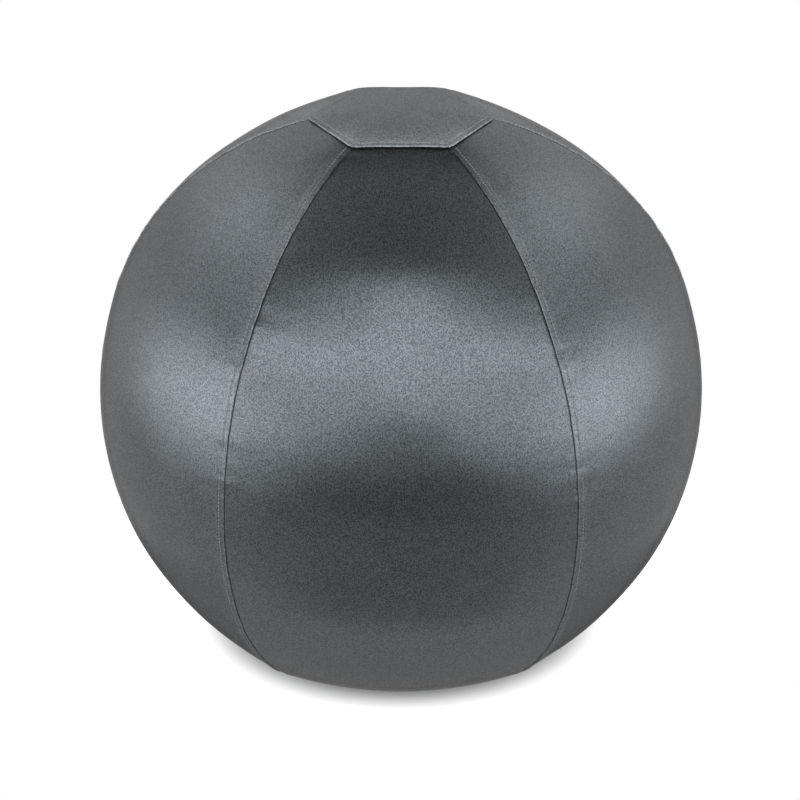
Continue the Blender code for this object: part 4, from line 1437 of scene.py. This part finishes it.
tape_finish, tree, shader = new_finish("zip_tape_weave", Sheen_Weight=0.15, Sheen_Roughness=0.5)
weave = place_node(tree, "ShaderNodeUVMap", uv_map="weave").outputs["UV"]
threads = woven_height(tree, weave, 0.45 * MM)
yarn = scaled_noise(tree, weave, (900, 300, 1))
colour = mix_colours(tree, threads, *TAPE_COLOURS)
connect(
    shader,
    Base_Color=mix_colours(tree, ramp(tree, yarn, 0.35, 0.7, 0, 0.5), colour, TAPE_YARN),
    Roughness=ramp(tree, yarn, *NOISE_SPAN, 0.72, 0.9),
    Normal=bumped(tree, threads, 0.12 * MM, 0.7),
)
put_on(tape_finish, *tapes.values())
nylon = moulded_finish("zip_nylon", 1.53, 700, 2.0, NYLON_COLOURS, (0.30, 0.46), 0.05 * MM)
put_on(nylon, *tooth_rows.values())

# %% [markdown]
# ## Metal, vinyl and plug
# The slider, its pull and the stops are lacquered gunmetal, rubbed brighter on the edges that
# fingers touch. The vinyl of the ball is dull with a moulded grain. The bush and the plug of the
# valve keep their solids, which are already the right shape, and get finishes of their own.

# %% Metal, vinyl and plug
METAL_COLOURS = ((0.155, 0.157, 0.165, 1), (0.225, 0.228, 0.236, 1))
METAL_RUBBED = (0.36, 0.36, 0.37, 1)
VINYL_COLOURS = ((0.27, 0.28, 0.29, 1), (0.37, 0.38, 0.39, 1))
PLUG_COLOURS = ((0.74, 0.74, 0.71, 1), (0.84, 0.84, 0.82, 1))

metal_finish, tree, shader = new_finish("gunmetal", Metallic=1.0)
spot = place_node(tree, "ShaderNodeTexCoord").outputs["Object"]
brush = scaled_noise(tree, spot, (2600, 2600, 420), 3.0)
edge = place_node(tree, "ShaderNodeNewGeometry").outputs["Pointiness"]
colour = mix_colours(tree, brush, *METAL_COLOURS)
connect(
    shader,
    Base_Color=mix_colours(tree, ramp(tree, edge, 0.51, 0.58), colour, METAL_RUBBED),
    Roughness=ramp(tree, brush, *NOISE_SPAN, 0.26, 0.42),
    Normal=bumped(tree, brush, 0.02 * MM, 0.25),
)
put_on(metal_finish, slider, pull, *stops.values())

vinyl, tree, shader = new_finish("ball_vinyl", IOR=1.52, Coat_Weight=0.05, Coat_Roughness=0.4)
spot = place_node(tree, "ShaderNodeTexCoord").outputs["Object"]
grain = scaled_noise(tree, spot, (1400, 1400, 1400), 3.0)
bloom = scaled_noise(tree, spot, (9, 9, 9), 3.0)
connect(
    shader,
    Base_Color=mix_colours(tree, ramp(tree, bloom, *NOISE_SPAN), *VINYL_COLOURS),
    Roughness=ramp(tree, bloom, *NOISE_SPAN, 0.42, 0.58),
    Normal=bumped(tree, grain, 0.06 * MM, 0.3),
)
put_on(vinyl, inner)
plug = moulded_finish("plug_plastic", 1.5, 260, 3.0, PLUG_COLOURS, (0.38, 0.52), 0.04 * MM)
for node, finish in (("valve_bush", vinyl), ("valve_plug", plug)):
    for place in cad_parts[node].material_slots:
        place.material = finish
print("finishes", [finish.name for finish in bpy.data.materials])

# %% [markdown]
# ## What moves with what
# Every new piece rides on one of the bodies of the model, and hides the solid it stands for, where
# there is one. The cover, the tapes, the teeth and the vinyl all belong to the ball; the slider
# and its pull move on their own.

# %% Bodies
def belongs(piece, body, slot, *nodes):
    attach(piece, body)
    if nodes:
        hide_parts(*nodes)


for word, cloth in gore_cloths.items():
    belongs(cloth, "ball", "cover_fabric", f"gore_{word}")
belongs(cap, "ball", "cover_fabric", "cap_panel")
belongs(base, "ball", "cover_fabric", "base_panel")
for line, piece in stitch_lines.items():
    belongs(piece, "ball", "thread", f"topstitch_{line}")
belongs(base_stitches, "ball", "thread")
for word, tape in tapes.items():
    belongs(tape, "ball", "zip_tape", f"zip_tape_{word}")
    belongs(tooth_rows[word], "ball", "zip_teeth", f"zip_teeth_{word}")
for word, piece in stops.items():
    belongs(piece, "ball", "zip_metal", f"zip_{word}_stop")
belongs(slider, "slider", "zip_metal", "zip_slider")
belongs(pull, "pull", "zip_metal", "zip_pull")
belongs(inner, "ball", "ball_vinyl", "inner_ball")
print("gores, cap, base, stitching, zip and ball are placed on their bodies")

for word, cloth in gore_cloths.items():
    lines = (f"gore_{word}_near", f"gore_{word}_far")
    sewn = [stitch_lines[line] for line in lines if line in stitch_lines]
    if word == GORES[ZIP_SEAM]:
        sewn.append(stitch_lines["zip"])
